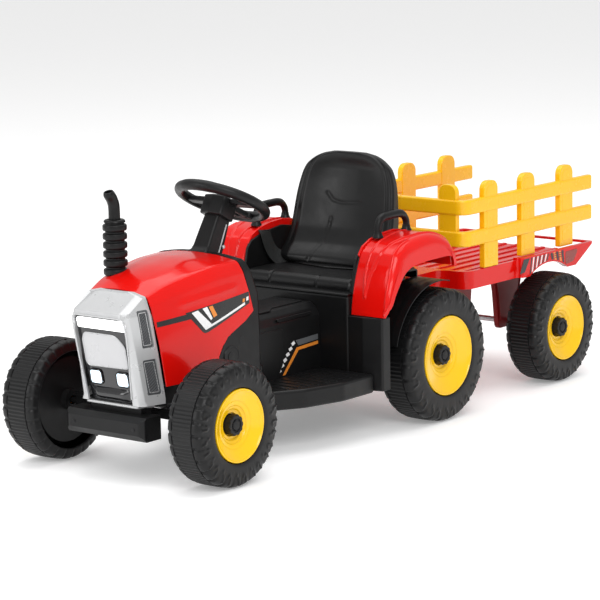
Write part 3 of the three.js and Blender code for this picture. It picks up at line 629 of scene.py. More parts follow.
def wheel_part(kind, build, material, node, shared, angle=45):
    """One tyre, rim or hub cap at its CAD wheel; wheels of one size share a mesh."""
    lo, hi = box_mm(node.rsplit("_", 1)[0] + "_tyre" if kind != "hub_cap" else node[:-8] + "_tyre")
    side = -1 if lo[1] < 0 else 1
    body = node.replace("_" + kind, "_wheel")
    radius = (hi[2] - lo[2]) / 2
    key = (kind, round(radius))
    if key in shared:
        obj = bpy.data.objects.new(node + "_fine", shared[key])
        bpy.context.scene.collection.objects.link(obj)
        modifier = obj.modifiers.new("even_normals", "WEIGHTED_NORMAL")
        modifier.keep_sharp = True
    else:
        obj = piece(node + "_fine", body, [(build(radius), material)], angle=angle)
        shared[key] = obj.data
    obj.parent = None
    face = lo[1] if side < 0 else hi[1]
    obj.location = ((lo[0] + hi[0]) / 2 * MM, face * MM, (lo[2] + hi[2]) / 2 * MM)
    obj.rotation_euler = (0, 0, math.pi if side < 0 else 0)
    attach(obj, body)
    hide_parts(node)


def wheels():
    shared = {}
    for end in ("front", "rear", "trailer"):
        for side, _ in SIDES:
            name = f"{end}_{side}"
            rim_lo, rim_hi = box_mm(f"{name}_rim")
            rim = (rim_hi[2] - rim_lo[2]) / 2 + 1
            wheel_part("tyre", lambda r, rim=rim: tyre_mesh(r, rim), TYRE_BLACK,
                       f"{name}_tyre", shared)
            wheel_part("rim", lambda r, rim=rim: rim_mesh(rim), RIM_YELLOW,
                       f"{name}_rim", shared)
            wheel_part("hub_cap", lambda r: hub_cap_mesh(), CASE, f"{name}_hub_cap", shared)


# ---- hood -------------------------------------------------------------------------
# stations from front to back: x, crown height, shoulder height, half width there and at the foot
HOOD = ((-615.4, 337, 323, 72, 89), (-570, 356, 338, 80, 94), (-510, 369, 349, 89, 100),
        (-450, 374, 357, 96, 105), (-330, 374, 362, 101, 108))
HOOD_FOOT = 168
NOSE_LEAN = 0.13
HOOD_EDGE = ((196, -468), (231, -447), (258, -387), (271, -369), (303, -377), (372, -400), (390, -406))
HOOD_SHARES = [0, 0.06, 0.12, 0.17, 0.21, 0.245, 0.27, 0.29, 0.305, 0.32, 0.335, 0.35, 0.365, 0.38, 0.395,
               0.41, 0.425, 0.44, 0.455, 0.47, 0.485, 0.5, 0.52, 0.54, 0.56, 0.58, 0.61, 0.65, 0.7, 0.76,
               0.82, 0.88, 0.94, 1]


def hood_station(x):
    xs = [s[0] for s in HOOD]
    return [eased(xs, [s[k] for s in HOOD])(x) for k in range(1, 5)]


def hood_half(x, inset=0.0, foot_z=HOOD_FOOT):
    """Half the hood's cross-section at x as (side, height), from the crown down to the foot."""
    crown, shoulder, wide, foot = (v - inset for v in hood_station(x))
    drop = crown - shoulder
    corners = [(0, crown), (0.5 * wide, crown - 0.14 * drop, 30), (wide - 4, shoulder + 0.34 * drop, 9),
               (wide + 3, shoulder - 14, 16), (0.5 * (wide + foot) + 4, 0.5 * (shoulder + foot_z), 120),
               (foot, foot_z)]
    path = np.array(rounded(corners, 10, closed=False, steps=7))
    return resample(path, HOOD_SHARES)


def raised_crease(x, z):
    """The long embossed line above the side decal."""
    line = 307 + (x + 549) * 0.095
    return 2.4 * bump01(z - line, 1.2, 5.5) * bump01(x + 480, 58, 16)


def hood_rows(inset, front_x, rear_x, columns, foot_z=HOOD_FOOT):
    """Rows of points from front to back whose ends follow front_x(z) and rear_x(z)."""
    rows = []
    for u in np.linspace(0, 1, columns):
        half = hood_half(-480, inset, foot_z)
        for _ in range(4):
            made = []
            for k, (_, z) in enumerate(half):
                x = (1 - u) * front_x(z) + u * rear_x(z)
                made.append((x, *hood_half(x, inset, foot_z)[k]))
            half = np.array([(y, z) for _, y, z in made])
        row = [(x, y + raised_crease(x, z) if inset == 0 else y, z) for x, y, z in made]
        rows.append([(x, -y, z) for x, y, z in reversed(row)] + row[1:])
    return rows


def hood_front_x(z):
    return HOOD[0][0] + NOSE_LEAN * (337 - z)


def hood_rear_x(z):
    return float(np.interp(z, [p[0] for p in HOOD_EDGE], [p[1] for p in HOOD_EDGE]))


def hood():
    surface = grid(hood_rows(0.0, hood_front_x, hood_rear_x, 44))
    tree = BVHTree.FromBMesh(surface)
    skin = shell(surface, 3)
    piece("hood_shell", "tractor", [(skin, RED)], ["hood"], angle=50)
    hood_decals(tree)


def decal(outline, tree, side, lift=0.35, cell=7):
    """A print cut to an outline in X and Z and laid on a side surface."""
    bm = bmesh.new()
    flat = [bm.verts.new((u * MM, 0, v * MM)) for u, v in outline]
    bm.faces.new(flat)
    us, vs = [p[0] for p in outline], [p[1] for p in outline]
    for axis, lo, hi in (((1, 0, 0), min(us), max(us)), ((0, 0, 1), min(vs), max(vs))):
        for at in np.arange(lo + cell, hi, cell):
            whole = [*bm.verts, *bm.edges, *bm.faces]
            bmesh.ops.bisect_plane(bm, geom=whole, plane_co=Vector(axis) * at * MM, plane_no=axis)
    bmesh.ops.triangulate(bm, faces=[f for f in bm.faces if len(f.verts) > 4])
    for v in bm.verts:
        start = Vector((v.co.x, side * 400 * MM, v.co.z))
        hit, normal, _, _ = tree.ray_cast(start, Vector((0, -side, 0)))
        if hit is not None:
            v.co = hit + Vector((0, side, 0)) * lift * MM
    bmesh.ops.recalc_face_normals(bm, faces=bm.faces)
    if sum(f.normal.y * side for f in bm.faces) < 0:
        bmesh.ops.reverse_faces(bm, faces=bm.faces)
    return bm


def hood_decals(tree):
    stripe = [(-610, 274), (-518, 279), (-525, 289), (-612, 283)]
    wedge = [(-540, 290.5), (-381, 307), (-373, 303), (-371, 293), (-380, 286), (-490, 250), (-497, 249),
             (-503, 252)]
    white = [[(-526, 289), (-511, 291.5), (-481, 263), (-392, 289.5), (-392, 285), (-496, 254.5)],
             [(-500, 293), (-489, 295), (-478, 273.5), (-482, 270)],
             [(-388, 291), (-382, 292.5), (-381, 299), (-387, 298)]]
    orange = [[(-485, 294.5), (-476, 295.5), (-466, 277), (-475, 274)],
              [(-398, 289.5), (-392, 291), (-391, 297), (-397, 296)]]
    for y, s in SIDES:
        piece(f"{y}_hood_print", "tractor",
              [(decal(stripe, tree, s), INK_BLACK), (decal(wedge, tree, s, 0.5), INK_BLACK)]
              + [(decal(p, tree, s, 0.8), INK_WHITE) for p in white]
              + [(decal(p, tree, s, 0.8), INK_ORANGE) for p in orange], weighted=False)


# ---- dash, tunnel, foot boards and the rest of the black lower body -----------------
BELLY_Z = 85
TUNNEL_W, TUNNEL_TOP = 66, 245
SEATBOX_X, SEATBOX_W, SEATBOX_TOP = (-125, 130), 134, 262


def dash_rear_x(z):
    return float(np.interp(z, (100, 300, 390), (-350, -350, -386)))


def dash():
    """The black bezel behind the hood: a band that follows the hood's own section, with a round rear rim."""
    band = grid(hood_rows(-0.6, lambda z: hood_rear_x(z) + 1.2, lambda z: dash_rear_x(z) - 6, 10, 90))
    rim = []
    for k, (back, inset) in enumerate(((-6, -0.6), (-3.2, 0.2), (-1, 2.4), (0, 5.5), (-0.4, 12))):
        def edge(z, back=back):
            return dash_rear_x(z) + back
        rim.append(hood_rows(inset, edge, edge, 2, 90 + 0.5 * k)[0])
    middle, last = 232, rim[-1]
    for scale in (0.6, 0.02):
        rim.append([(x - 1.2, y * scale, middle + (z - middle) * scale) for x, y, z in last])
    face = grid(rim)
    for bm in (band, face):
        bmesh.ops.recalc_face_normals(bm, faces=bm.faces)
    return [(shell(band, 3), BLACK), (shell(face, 2), BLACK)]


def foot_board(side):
    """One foot board with a rounded outer edge and raised tread bars."""
    outer = [(-362, 60, 0), (-362, 132, 16), (-300, 170, 60), (-215, 192, 40), (-122, 192, 6), (-122, 60, 0)]
    outline = [(x, y * side) for x, y in rounded(outer, 8)]
    parts = [(slab(outline, "z", BELLY_Z, 121, bevel=6, steps=4), BLACK)]
    for k in range(9):
        x = -318 + 21 * k
        reach = float(np.interp(x, (-330, -300, -215), (134, 152, 174)))
        y0, y1 = sorted((side * 78, side * reach))
        parts.append((block((x - 4, y0, 119), (x + 4, y1, 122.2), bevel=1.1), BLACK))
    return parts


def pillar(side):
    """The upright behind the foot board, folded at its middle."""
    plan = [(-92, 132, 0), (-124, 132, 3), (-126, 168, 14), (-117, 208, 5), (-92, 208, 0)]
    outline = [(x, y * side) for x, y in rounded(plan, 4)]
    return [(slab(outline, "z", BELLY_Z + 3, 226.4, bevel=2.5, steps=3), BLACK)]


def flank_rings(side):
    """The moulded spring and bolt heads on the flank behind the front wheel."""
    y = side * 104
    parts = []
    for x, z, r in ((-432, 196, 22), (-404, 222, 9), (-420, 168, 13)):
        profile = [(r, -3), (r, 1.6), (r - 1.5, 3), (r - 3.5, 3), (r - 4.5, 1.6), (r - 5, 0.4),
                   (r * 0.45, 0.4), (r * 0.42, 2.4), (0.02, 2.8)]
        parts.append((lathe(profile, 48, (x, y, z), (0, side, 0)), BLACK))
    return parts


def tunnel():
    half = [(TUNNEL_W, BELLY_Z, 0), (TUNNEL_W, 222, 10), (TUNNEL_W - 7, 236, 12), (46, TUNNEL_TOP, 8)]
    body = slab(rounded(mirror(half), 6), "x", -362, SEATBOX_X[0] + 12, bevel=0)
    raised = rounded([(-338, 46), (-250, 50), (-226, 34), (-132, 34), (-132, -34), (-226, -34), (-250, -50),
                      (-338, -46)], 7)
    parts = [(body, BLACK), (slab(raised, "z", TUNNEL_TOP - 1, TUNNEL_TOP + 2.2, bevel=1.6, steps=3), BLACK)]
    for s in (-1, 1):
        step = rounded([(-330, 96), (-262, 108), (-238, 146), (-236, 214), (-330, 214)], 9)
        near, far = TUNNEL_W - 1, TUNNEL_W + 2.4
        parts.append((side_slab(step, s, near, far, bevel=1.6, steps=3), BLACK))
        brow = rounded([(-250, 226), (-150, 226), (-150, 232), (-256, 232)], 2)
        parts.append((side_slab(brow, s, near * 0.99, far * 0.99, bevel=1.2), BLACK))
    return parts


def side_console(side):
    """The black inner wall between the seat deck and the fender."""
    wall = rounded([(-112, 262), (-103, 296, 12), (-96, 328, 8), (-84, 341, 10), (-50, 352, 30),
                    (10, 360, 40), (60, 352, 20), (90, 330, 10), (88, 300, 8), (62, 278, 12), (52, 262)], 6)
    return [(side_slab(wall, side, 127.5, 133.2, bevel=1.8, steps=3), BLACK)]


def lower_body():
    parts = dash()
    keel = rounded([(-612, 70), (-440, 88), (-440, -88), (-612, -70)], 6)
    parts.append((slab(keel, "z", 130, 172, bevel=4, steps=3), BLACK))
    parts.append((block((-452, -104, BELLY_Z), (-338, 104, 170), bevel=8, steps=4), BLACK))
    parts += tunnel()
    x0, x1 = SEATBOX_X
    box_side = [(x0, BELLY_Z), (x1, BELLY_Z), (x1, 205), (98, 205), (98, SEATBOX_TOP), (x0, SEATBOX_TOP)]
    parts.append((slab(box_side, "y", -SEATBOX_W, SEATBOX_W, bevel=5, steps=4), BLACK))
    parts.append((block((-628, -60, 100), (-600, 60, 140), bevel=2), BLACK))
    hitch_x = (box_mm("hitch_pin")[0][0] + box_mm("hitch_pin")[1][0]) / 2
    for z0, z1 in ((130, 136), (164, 170)):
        ear = rounded([(x1 - 2, -22, 0), (hitch_x + 14, -22, 9), (hitch_x + 14, 22, 9), (x1 - 2, 22, 0)], 0)
        parts.append((slab(ear, "z", z0, z1, bevel=1), BLACK))
    for _, s in SIDES:
        parts += foot_board(s) + pillar(s) + flank_rings(s) + side_console(s)
    piece("body_black", "tractor", parts, ["lower_body"])
    tunnel_print()


def tunnel_print():
    """Orange chevron, grey bar and a row of plain slanted bars on the tunnel's sides."""
    for name, s in SIDES:
        chevron = [(-238, 124), (-231, 124), (-190, 164.5), (-131, 167), (-131, 173), (-195, 170)]
        bar = [(-190, 173), (-131, 176), (-131, 186), (-198, 184)]
        prints = [(chevron, INK_ORANGE), (bar, INK_GREY)]
        for k in range(6):
            x, z = -250 + 8.4 * k, 129 + 9.2 * k
            prints.append(([(x, z), (x + 8.5, z + 3.4), (x + 5, z + 8.6), (x - 3.5, z + 5.2)], INK_WHITE))
        parts = [(side_slab(shape, s, TUNNEL_W + 0.2, TUNNEL_W + 0.9, bevel=0), ink) for shape, ink in prints]
        piece(f"{name}_tunnel_print", "tractor", parts, weighted=False)


# ---- nose ---------------------------------------------------------------------------
# rings of the nose frame at rising heights: height, front x, half width, rear x, rear half width
NOSE = ((137, -641, 70, -592, 86), (146, -642, 66, -592, 86), (215, -655, 63, -600, 81),
        (296, -671, 59, -610, 74), (304, -670, 57, -612, 72), (329, -622, 52, -616.5, 67),
        (335, -619, 30, -616.6, 40))
SLOPE = (671 - 642) / (296 - 146)


def front_x(z):
    """Front plane of the nose, leaning forward as it rises."""
    return -642 - (z - 146) * SLOPE


def nose_at(z, k):
    return float(np.interp(z, [r[0] for r in NOSE[:4]], [r[k] for r in NOSE[:4]]))


def nose_side(x, z):
    """Half width of the nose's side face at a point."""
    fx, w, rx, wr = (nose_at(z, k) for k in (1, 2, 3, 4))
    return w + 6 + (wr - w - 6) * (x - fx - 12) / (rx - fx - 12)


def nose_ring(z, x, w, xr, wr, inset):
    slope = (wr - w - 6) / max(xr - x - 12, 8)
    back = wr - inset + 3 * inset * slope
    half = [(xr + 3 * inset, back, 0), (x + 12 + inset, w + 6 - inset, 9), (x + inset, w - 3 - inset, 7)]
    outline = rounded(mirror_plan(half), 5, steps=3)
    return [(u, v, z - (inset if z > 300 else 0)) for u, v in outline]


def nose_solid(inset):
    return grid([nose_ring(*r, inset) for r in NOSE], loop_columns=True, caps=True)


# side vents as (x, z) corners, lower front first
VENT_SHAPES = (((-624, 155), (-597, 153), (-606, 219), (-634, 215)),
               ((-633, 240), (-608, 239), (-617, 307), (-641, 303)))


def nose_vent_outline(corners, inset=0.0):
    """A side vent's outline, drawn in by an inset."""
    inward = ((inset, inset), (-inset, inset), (-inset, -inset), (inset, -inset))
    heights = (corners[0][1], corners[0][1], corners[2][1], corners[2][1])
    return [(x + dx, z + dz) for (x, _), z, (dx, dz) in zip(corners, heights, inward)]


# right half of the nose window, as (half width, height, corner radius), from below
WINDOW = ((52, 128, 0), (52.5, 150, 10), (58.5, 216, 40), (61, 262, 20), (60, 296, 12))


def grille_frame():
    outer = nose_solid(0)
    window_line = rounded(mirror(WINDOW), 6)
    window = slab(window_line, "x", -700, -632, bevel=0)
    cutters = [nose_solid(4), window, block((-616, -66, 110), (-560, 66, 302), bevel=0)]
    for corners in VENT_SHAPES:
        for s in (-1, 1):
            cutters.append(side_slab(rounded(nose_vent_outline(corners), 3, steps=2), s, 50, 110, bevel=0))
    body = cut_away(outer, cutters)
    border = [(front_x(z) + 2.6 - 3.2 * bump01(abs(y), 52, 12), y, z) for y, z in window_line if z > 140]
    edge = bead(border, 1.8, 8)
    lip = slab(rounded([(front_x(137) + 2, 60), (front_x(137) + 2, -60), (-600, -74), (-600, 74)], 6), "z",
               131.5, 136.5, bevel=1.6, steps=3)
    piece("nose_frame", "tractor", [(body, SILVER), (edge, SILVER), (lip, SILVER)],
          ["grille_frame"], angle=34)


def vent_panel(s):
    """Dark slanted panels with diagonal ribs, one behind each side vent."""
    parts = []
    for shape in VENT_SHAPES:
        z0, z1 = shape[0][1], shape[2][1]
        outline = nose_vent_outline(shape, -2)
        us = np.linspace(0, 1, 6)
        corners = [outline[0], outline[1], outline[3], outline[2]]
        rows = []
        for v in us:
            row = []
            for u in us:
                x = (1 - v) * ((1 - u) * corners[0][0] + u * corners[1][0]) \
                    + v * ((1 - u) * corners[2][0] + u * corners[3][0])
                z = (1 - v) * z0 + v * z1
                row.append((x, s * (nose_side(x, z) - 3.4), z))
            rows.append(row)
        parts.append((shell(grid(rows), 1.2), VENT))
        lines = 13
        for k in range(-3, lines):
            z = z0 + (z1 - z0) * (k + 0.5) / lines
            x_lo = outline[0][0] + (outline[3][0] - outline[0][0]) * (z - z0) / (z1 - z0) + 6
            x_hi = outline[1][0] + (outline[2][0] - outline[1][0]) * (z - z0) / (z1 - z0) - 6
            rise = (x_hi - x_lo) * 0.85
            lo_t = max(0.0, (z0 + 5 - z) / rise)
            hi_t = min(1.0, (z1 - 5 - z) / rise)
            if hi_t - lo_t < 0.12:
                continue
            ends = [(x_lo + (x_hi - x_lo) * t, z + rise * t) for t in (lo_t, hi_t)]
            path = [(x, s * (nose_side(x, zz) - 2.6), zz) for x, zz in ends]
            parts.append((bead(path, 1.15, 6), VENT))
        inner = nose_vent_outline(shape, 4.5)
        frame_line = rounded(inner, 2, steps=2)
        path = [(x, s * (nose_side(x, z) - 2.3), z) for x, z in frame_line + frame_line[:1]]
        parts.append((bead(path, 0.8, 6, caps=False), SILVER))
    side = "left" if s < 0 else "right"
    piece(f"{side}_vent", "tractor", parts, [f"{side}_vent_insert"])


def on_front(points, depth):
    """Points of (side, height) put on the nose's leaning front plane, depth behind it."""
    return [(front_x(z) + depth, y, z) for y, z in points]


def front_plate(points, depth, thick, dome=0.0, edge=1.2):
    """A plate parallel to the front plane, its outline in (side, height), domed by a little."""
    us = [p[0] for p in points]
    vs = [p[1] for p in points]
    cy, cz = (min(us) + max(us)) / 2, (min(vs) + max(vs)) / 2
    rows = []
    for scale, out in ((1.0, -thick), (1.0, -edge), (0.985, -0.3 * edge), (0.96, 0.0), (0.7, 0.55 * dome),
                       (0.4, 0.85 * dome), (0.02, dome)):
        ring = [(cy + (y - cy) * scale, cz + (z - cz) * scale) for y, z in points]
        rows.append([(front_x(z) + depth - out, y, z) for y, z in ring])
    return grid(rows, loop_columns=True, caps=True)


def grille_insert():
    """Glossy black panel with a swelling chin, the lit bar, the pale panel and two lamps."""
    back = rounded(mirror([(51, 140, 5), (56.5, 212, 20), (59.5, 262, 10), (58, 293, 6)]), 5)
    panel = front_plate(back, 9, 3, dome=1.0)
    chin_rows = []
    for t in np.linspace(0, 1, 9):
        z = 139 + 28 * t
        swell = 9 * math.sin(math.pi * min(t * 1.05 + 0.08, 1)) ** 0.8
        half = 51 - 2 * (1 - t)
        chin_rows.append([(front_x(z) + 8.6 - swell * bump01(y, half - 22, 22), y, z)
                          for y in np.linspace(-half, half, 25)])
    chin = shell(grid(chin_rows), 1.5)
    parts = [(panel, GLOSS_BLACK), (chin, GLOSS_BLACK)]
    piece("nose_panel", "tractor", parts, ["grille_panel"])
    pale = rounded([(-48, 203, 5), (49, 201, 9), (50, 248, 9), (44, 262, 9), (-30, 262, 26),
                    (-48, 243, 16)], 8)
    rim = (bead(on_front([*pale, pale[0]], 7.8), 1.3, 6, caps=False), SILVER)
    parts = [(front_plate(pale, 7.2, 3, dome=1.6, edge=2.4), PALE), rim]
    piece("nose_display", "tractor", parts, ["display_panel"])
    bar = rounded(mirror([(56, 271, 3), (57, 290, 6)]), 3)
    parts = [(front_plate(bar, 6.5, 3, dome=1.2), LAMP)]
    piece("nose_light_bar", "tractor", parts, ["light_bar"])
    for name, s in SIDES:
        y = s * 31
        lamp = rounded([(y - 14, 168), (y + 14, 168), (y + 13.5, 194), (y - 13.5, 194)], 6)
        ring = (bead(on_front([*lamp, lamp[0]], 6.4), 1.6, 6, caps=False), GLOSS_BLACK)
        parts = [(front_plate(lamp, 6.6, 4, dome=1.8), HEADLAMP), ring]
        piece(f"{name}_lamp", "tractor", parts, [f"{name}_headlight"])


def front_bumper():
    lo, hi = box_mm("front_bumper")
    half = [(hi[0], hi[1], 0), (lo[0] + 7, hi[1], 7), (lo[0], hi[1] - 9, 10)]
    body = slab(rounded(mirror_plan(half), 4, steps=3), "z", 78, 121, bevel=0)
    cutters = []
    for s in (-1, 1):
        cutters.append(slab([(s * 56, 60), (s * 130, 60), (s * 130, 97)], "x", -700, -600, bevel=0))
    below = [(-700, 60), (-640, 60), (-651, 78), (-664, 92), (-700, 92)]
    above = [(-700, 112), (-662, 112), (-650, 121.5), (-650, 140), (-700, 140)]
    cutters += [slab(edge, "y", -130, 130, bevel=0) for edge in (below, above)]
    body = soften(cut_away(body, cutters), 2.2, 3, angle=20)
    bolt = [(3.4, -1), (3.4, 0.6), (2.6, 1.2), (0.02, 1.4)]
    bolts = [(lathe(bolt, 20, (lo[0], y, 100), (-1, 0, 0)), CASE) for y in (-70, 70)]
    piece("bumper", "tractor", [(body, BLACK), *bolts], ["front_bumper"], angle=25)


# ---- exhaust -----------------------------------------------------------------------
def exhaust():
    lo, hi = box_mm("muffler")
    x, y = (lo[0] + hi[0]) / 2, (lo[1] + hi[1]) / 2
    r = (hi[0] - lo[0]) / 2
    profile = [(0.02, lo[2]), (r - 5, lo[2]), (r - 4, lo[2] + 2)]
    rings = 6
    pitch = (hi[2] - lo[2] - 8) / rings
    for k in range(rings):
        z = lo[2] + 3 + k * pitch
        end = z + pitch
        profile += [(r - 4.2, z), (r - 1.2, z + 1.2), (r, z + 3), (r, end - 6.4), (r - 1.2, end - 4.4),
                    (r - 4.4, end - 3), (r - 4.6, end - 1.6)]
    top = hi[2]
    profile += [(r - 2.4, top - 5), (r - 2.8, top - 2.2), (r - 5, top - 0.4), (r - 7.6, top - 0.2),
                (r - 9.4, top - 2), (0.02, top - 2.4)]
    piece("muffler_body", "tractor", [(lathe(profile, 56, (x, y, 0)), BLACK)], ["muffler"],
          angle=55)
    pipe_lo, pipe_hi = box_mm("exhaust_pipe")
    radius = 10.5
    path = smooth_path([(x, y, top - 3), (x, y, 465), (x - 1.5, y, 476), (x - 6, y, 486), (x - 12, y, 494),
                        (pipe_lo[0] + 12.2, y, 499.2)], 7)

    def section(t):
        slim = 1.0 - 0.16 * max(t - 0.82, 0) / 0.18
        return circle(radius * slim, 28)

    tube = sweep(path, section)
    mouth = cut_away(tube, [sweep([path[-1] + (path[-1] - path[-2]) * 4, path[-9]],
                                  lambda t: circle(radius - 3.2, 24))])
    piece("pipe", "tractor", [(mouth, BLACK)], ["exhaust_pipe"], angle=50)


# ---- steering ------------------------------------------------------------------------
STEER_TILT = math.radians(28)
STEER_AXIS = np.array([math.sin(STEER_TILT), 0, math.cos(STEER_TILT)])
STEER_FORWARD = np.array([-math.cos(STEER_TILT), 0, math.sin(STEER_TILT)])
WHEEL_CENTRE = np.array([-322, 0, 457])
RING_R = 81.5


def in_wheel(f, y, up=0.0):
    """A point from its forward, sideways and upward offsets in the steering wheel's own frame."""
    return tuple(WHEEL_CENTRE + STEER_FORWARD * f + np.array([0, 1, 0]) * y + STEER_AXIS * up)


def wheel_slab(outline, lo, hi, bevel=1.5, steps=3):
    """An outline of (forward, side) swept along the steering axis."""
    return prism(outline, in_wheel, lo, hi, bevel, steps)


def steering_wheel():
    rows = []
    steps = 120
    for k in range(steps):
        t = 2 * math.pi * k / steps
        swell = 1.0 + 0.05 * bump01(math.sin(t), 0.35, 0.1)
        ring = []
        for j in range(24):
            a = 2 * math.pi * j / 24
            out = 10.0 * swell * math.cos(a)
            up = 9.8 * swell * math.sin(a)
            ring.append(in_wheel((RING_R + out - 0.6) * math.cos(t), (RING_R + out - 0.6) * math.sin(t), up))
        rows.append(ring)
    parts = [(grid(rows, loop_rows=True, loop_columns=True), GRIP_BLACK)]
    hub = rounded([(24, -26, 7), (30, 0, 10), (24, 26, 7), (-20, 24, 8), (-20, -24, 8)], 7)
    crown = rounded([(17, -18, 6), (17, 18, 6), (-13, 16, 6), (-13, -16, 6)], 6)
    pocket = rounded([(12.6, -13.6), (12.6, 13.6), (-9.6, 12.6), (-9.6, -12.6)], 5.6)
    for outline, low, high, edge in ((hub, -34, 3, 3), (crown, -4, 7, 2.5)):
        solid = wheel_slab(outline, low, high, bevel=edge, steps=4)
        parts.append((cut_away(solid, [wheel_slab(pocket, 1.2, 9, bevel=0.1, steps=1)]), GRIP_BLACK))
    for s in (-1, 1):
        spoke = rounded([(10, s * 20, 0), (9, s * 76, 0), (-9, s * 76, 0), (-13, s * 20, 0)], 0)
        parts.append((wheel_slab(spoke, -7, 3, bevel=2.5, steps=3), GRIP_BLACK))
        groove = rounded([(4, s * 30), (4, s * 70), (-4, s * 70), (-5, s * 30)], 2)
        parts.append((wheel_slab(groove, 2, 4.4, bevel=1.2, steps=2), GRIP_BLACK))
        arm = rounded([(-14, s * 8, 0), (-74, s * 20, 0), (-76, s * 6, 0), (-16, s * 1, 0)], 0)
        parts.append((wheel_slab(arm, -8, 2, bevel=2.2, steps=3), GRIP_BLACK))
    bridge = rounded([(-60, -20, 4), (-76, -22, 4), (-76, 22, 4), (-60, 20, 4)], 4)
    parts.append((wheel_slab(bridge, -8, 2.5, bevel=2.2, steps=3), GRIP_BLACK))
    piece("steering_ring", "steering", parts, ["steering_wheel"], angle=42)
    horn = rounded([(11.5, -12.5), (11.5, 12.5), (-8.5, 11.5), (-8.5, -11.5)], 5)
    dot = [(4.5, 7.9), (4.5, 8.9), (3.6, 9.6), (0.02, 9.8)]
    piece("horn_pad", "horn",
          [(wheel_slab(horn, 4, 8.4, bevel=1.6, steps=3), CASE),
           (lathe(dot, 28, WHEEL_CENTRE, STEER_AXIS), BUTTON)], ["horn_button"])


def column_cover():
    """A boxy tapered column with a pale line down each side in place of a slot, and a flared foot on the
    dash.
    """
    rows = []
    for down, wide, deep in ((26, 17, 19), (40, 17.5, 20), (70, 18.5, 22), (95, 19.5, 23), (104, 21, 25),
                             (110, 25, 30), (122, 26, 31)):
        outline = rounded([(deep, wide), (deep, -wide), (-deep, -wide), (-deep, wide)], 6, steps=3)
        rows.append([in_wheel(f, y, -down) for f, y in outline])
    body = grid(rows, loop_columns=True, caps=True)
    parts = [(body, BLACK)]
    for s in (-1, 1):
        line = [in_wheel(-9, s * 18.2, -42), in_wheel(-9, s * 19.9, -98)]
        parts.append((bead(line, 1.3, 8), PALE))
        bolt = [(4, -1), (4, 1.0), (3, 1.8), (0.02, 2.0)]
        parts.append((lathe(bolt, 20, in_wheel(-17, s * 19.6, -82), (0, s, 0)), STEEL))
    piece("column", "tractor", parts, ["steering_column_cover"], angle=35)


# ---- seat and deck ---------------------------------------------------------------------
# height, front x, half width and depth of the seat from its foot to its top
SEAT_ROWS = ((290.4, -10, 112, 80), (296, -17, 117, 88), (304, -19, 119.5, 90), (314, -12, 121, 84),
             (330, 5, 122, 69), (362, 23, 122, 54), (417, 35, 118, 45), (450, 42, 112, 39),
             (474, 46, 102, 36), (490, 50, 84, 31), (500, 54, 62, 25), (504.4, 58, 40, 17))


def seat_row(z):
    zs = [r[0] for r in SEAT_ROWS]
    return [eased(zs, [r[k] for r in SEAT_ROWS])(z) for k in (1, 2, 3)]


SEAT_GROOVES = (((48, 424), (35, 410), (16, 406), (-31, 409)), ((35, 376), (41, 333), (55, 300)))


def groove_depth(y, z):
    """Depth of the moulded lines at a point of the seat's front."""
    best = 99.0
    for line in SEAT_GROOVES:
        for (y0, z0), (y1, z1) in zip(line, line[1:]):
            dy, dz = y1 - y0, z1 - z0
            t = min(max(((y - y0) * dy + (z - z0) * dz) / (dy * dy + dz * dz), 0), 1)
            best = min(best, math.hypot(y - y0 - t * dy, z - z0 - t * dz))
    return 1.8 * bump01(best, 0.6, 3.4)


def seat_face(a, z):
    """How far the seat's front face stands behind its leading edge; a is the share of the half width."""
    width = seat_row(z)[1]
    scoop = 17 * (1 - min(abs(a) / 0.82, 1) ** 2.4) * bump01(z - 390, 80, 40)
    rim = 2.0 * bump01(abs(a) - 0.90, 0.02, 0.03) * bump01(z - 410, 70, 30)
    return scoop + rim + groove_depth(a * width, z)


def seat():
    foot, top = SEAT_ROWS[0][0], SEAT_ROWS[-1][0]
    zs = np.concatenate([np.linspace(foot, 320, 12), np.linspace(322.5, 480, 64), np.linspace(483, top, 12)])
    rows = []
    for z in zs:
        x, w, d = seat_row(z)
        ring = []
        count = 88
        for k in range(count + 1):
            a = -1 + 2 * k / count
            a = math.sin(a * math.pi / 2) * 0.35 + a * 0.65
            edge = 1 - abs(a) ** 6
            ring.append((x + 4 + seat_face(a, z) + (1 - edge) * 7, w * a, z))
        back = 24
        for k in range(1, back):
            t = math.pi * k / back
            ring.append((x + 0.5 * d * (1 + math.sin(t) ** 0.7), 0.985 * w * math.cos(t), z))
        rows.append(ring)
    body = grid(rows, loop_columns=True, caps=True)
    lip = rounded([(-24, 0, 30), (-14, 60, 40), (4, 112, 16), (60, 118, 12), (76, 100, 10), (76, -100, 10),
                   (60, -118, 12), (4, -112, 16), (-14, -60, 40)], 10)
    flange = slab(lip, "z", 290.2, 293.6, bevel=1.4, steps=3)
    piece("seat_shell", "tractor", [(body, SEAT_BLACK), (flange, SEAT_BLACK)], ["seat"],
          angle=48)


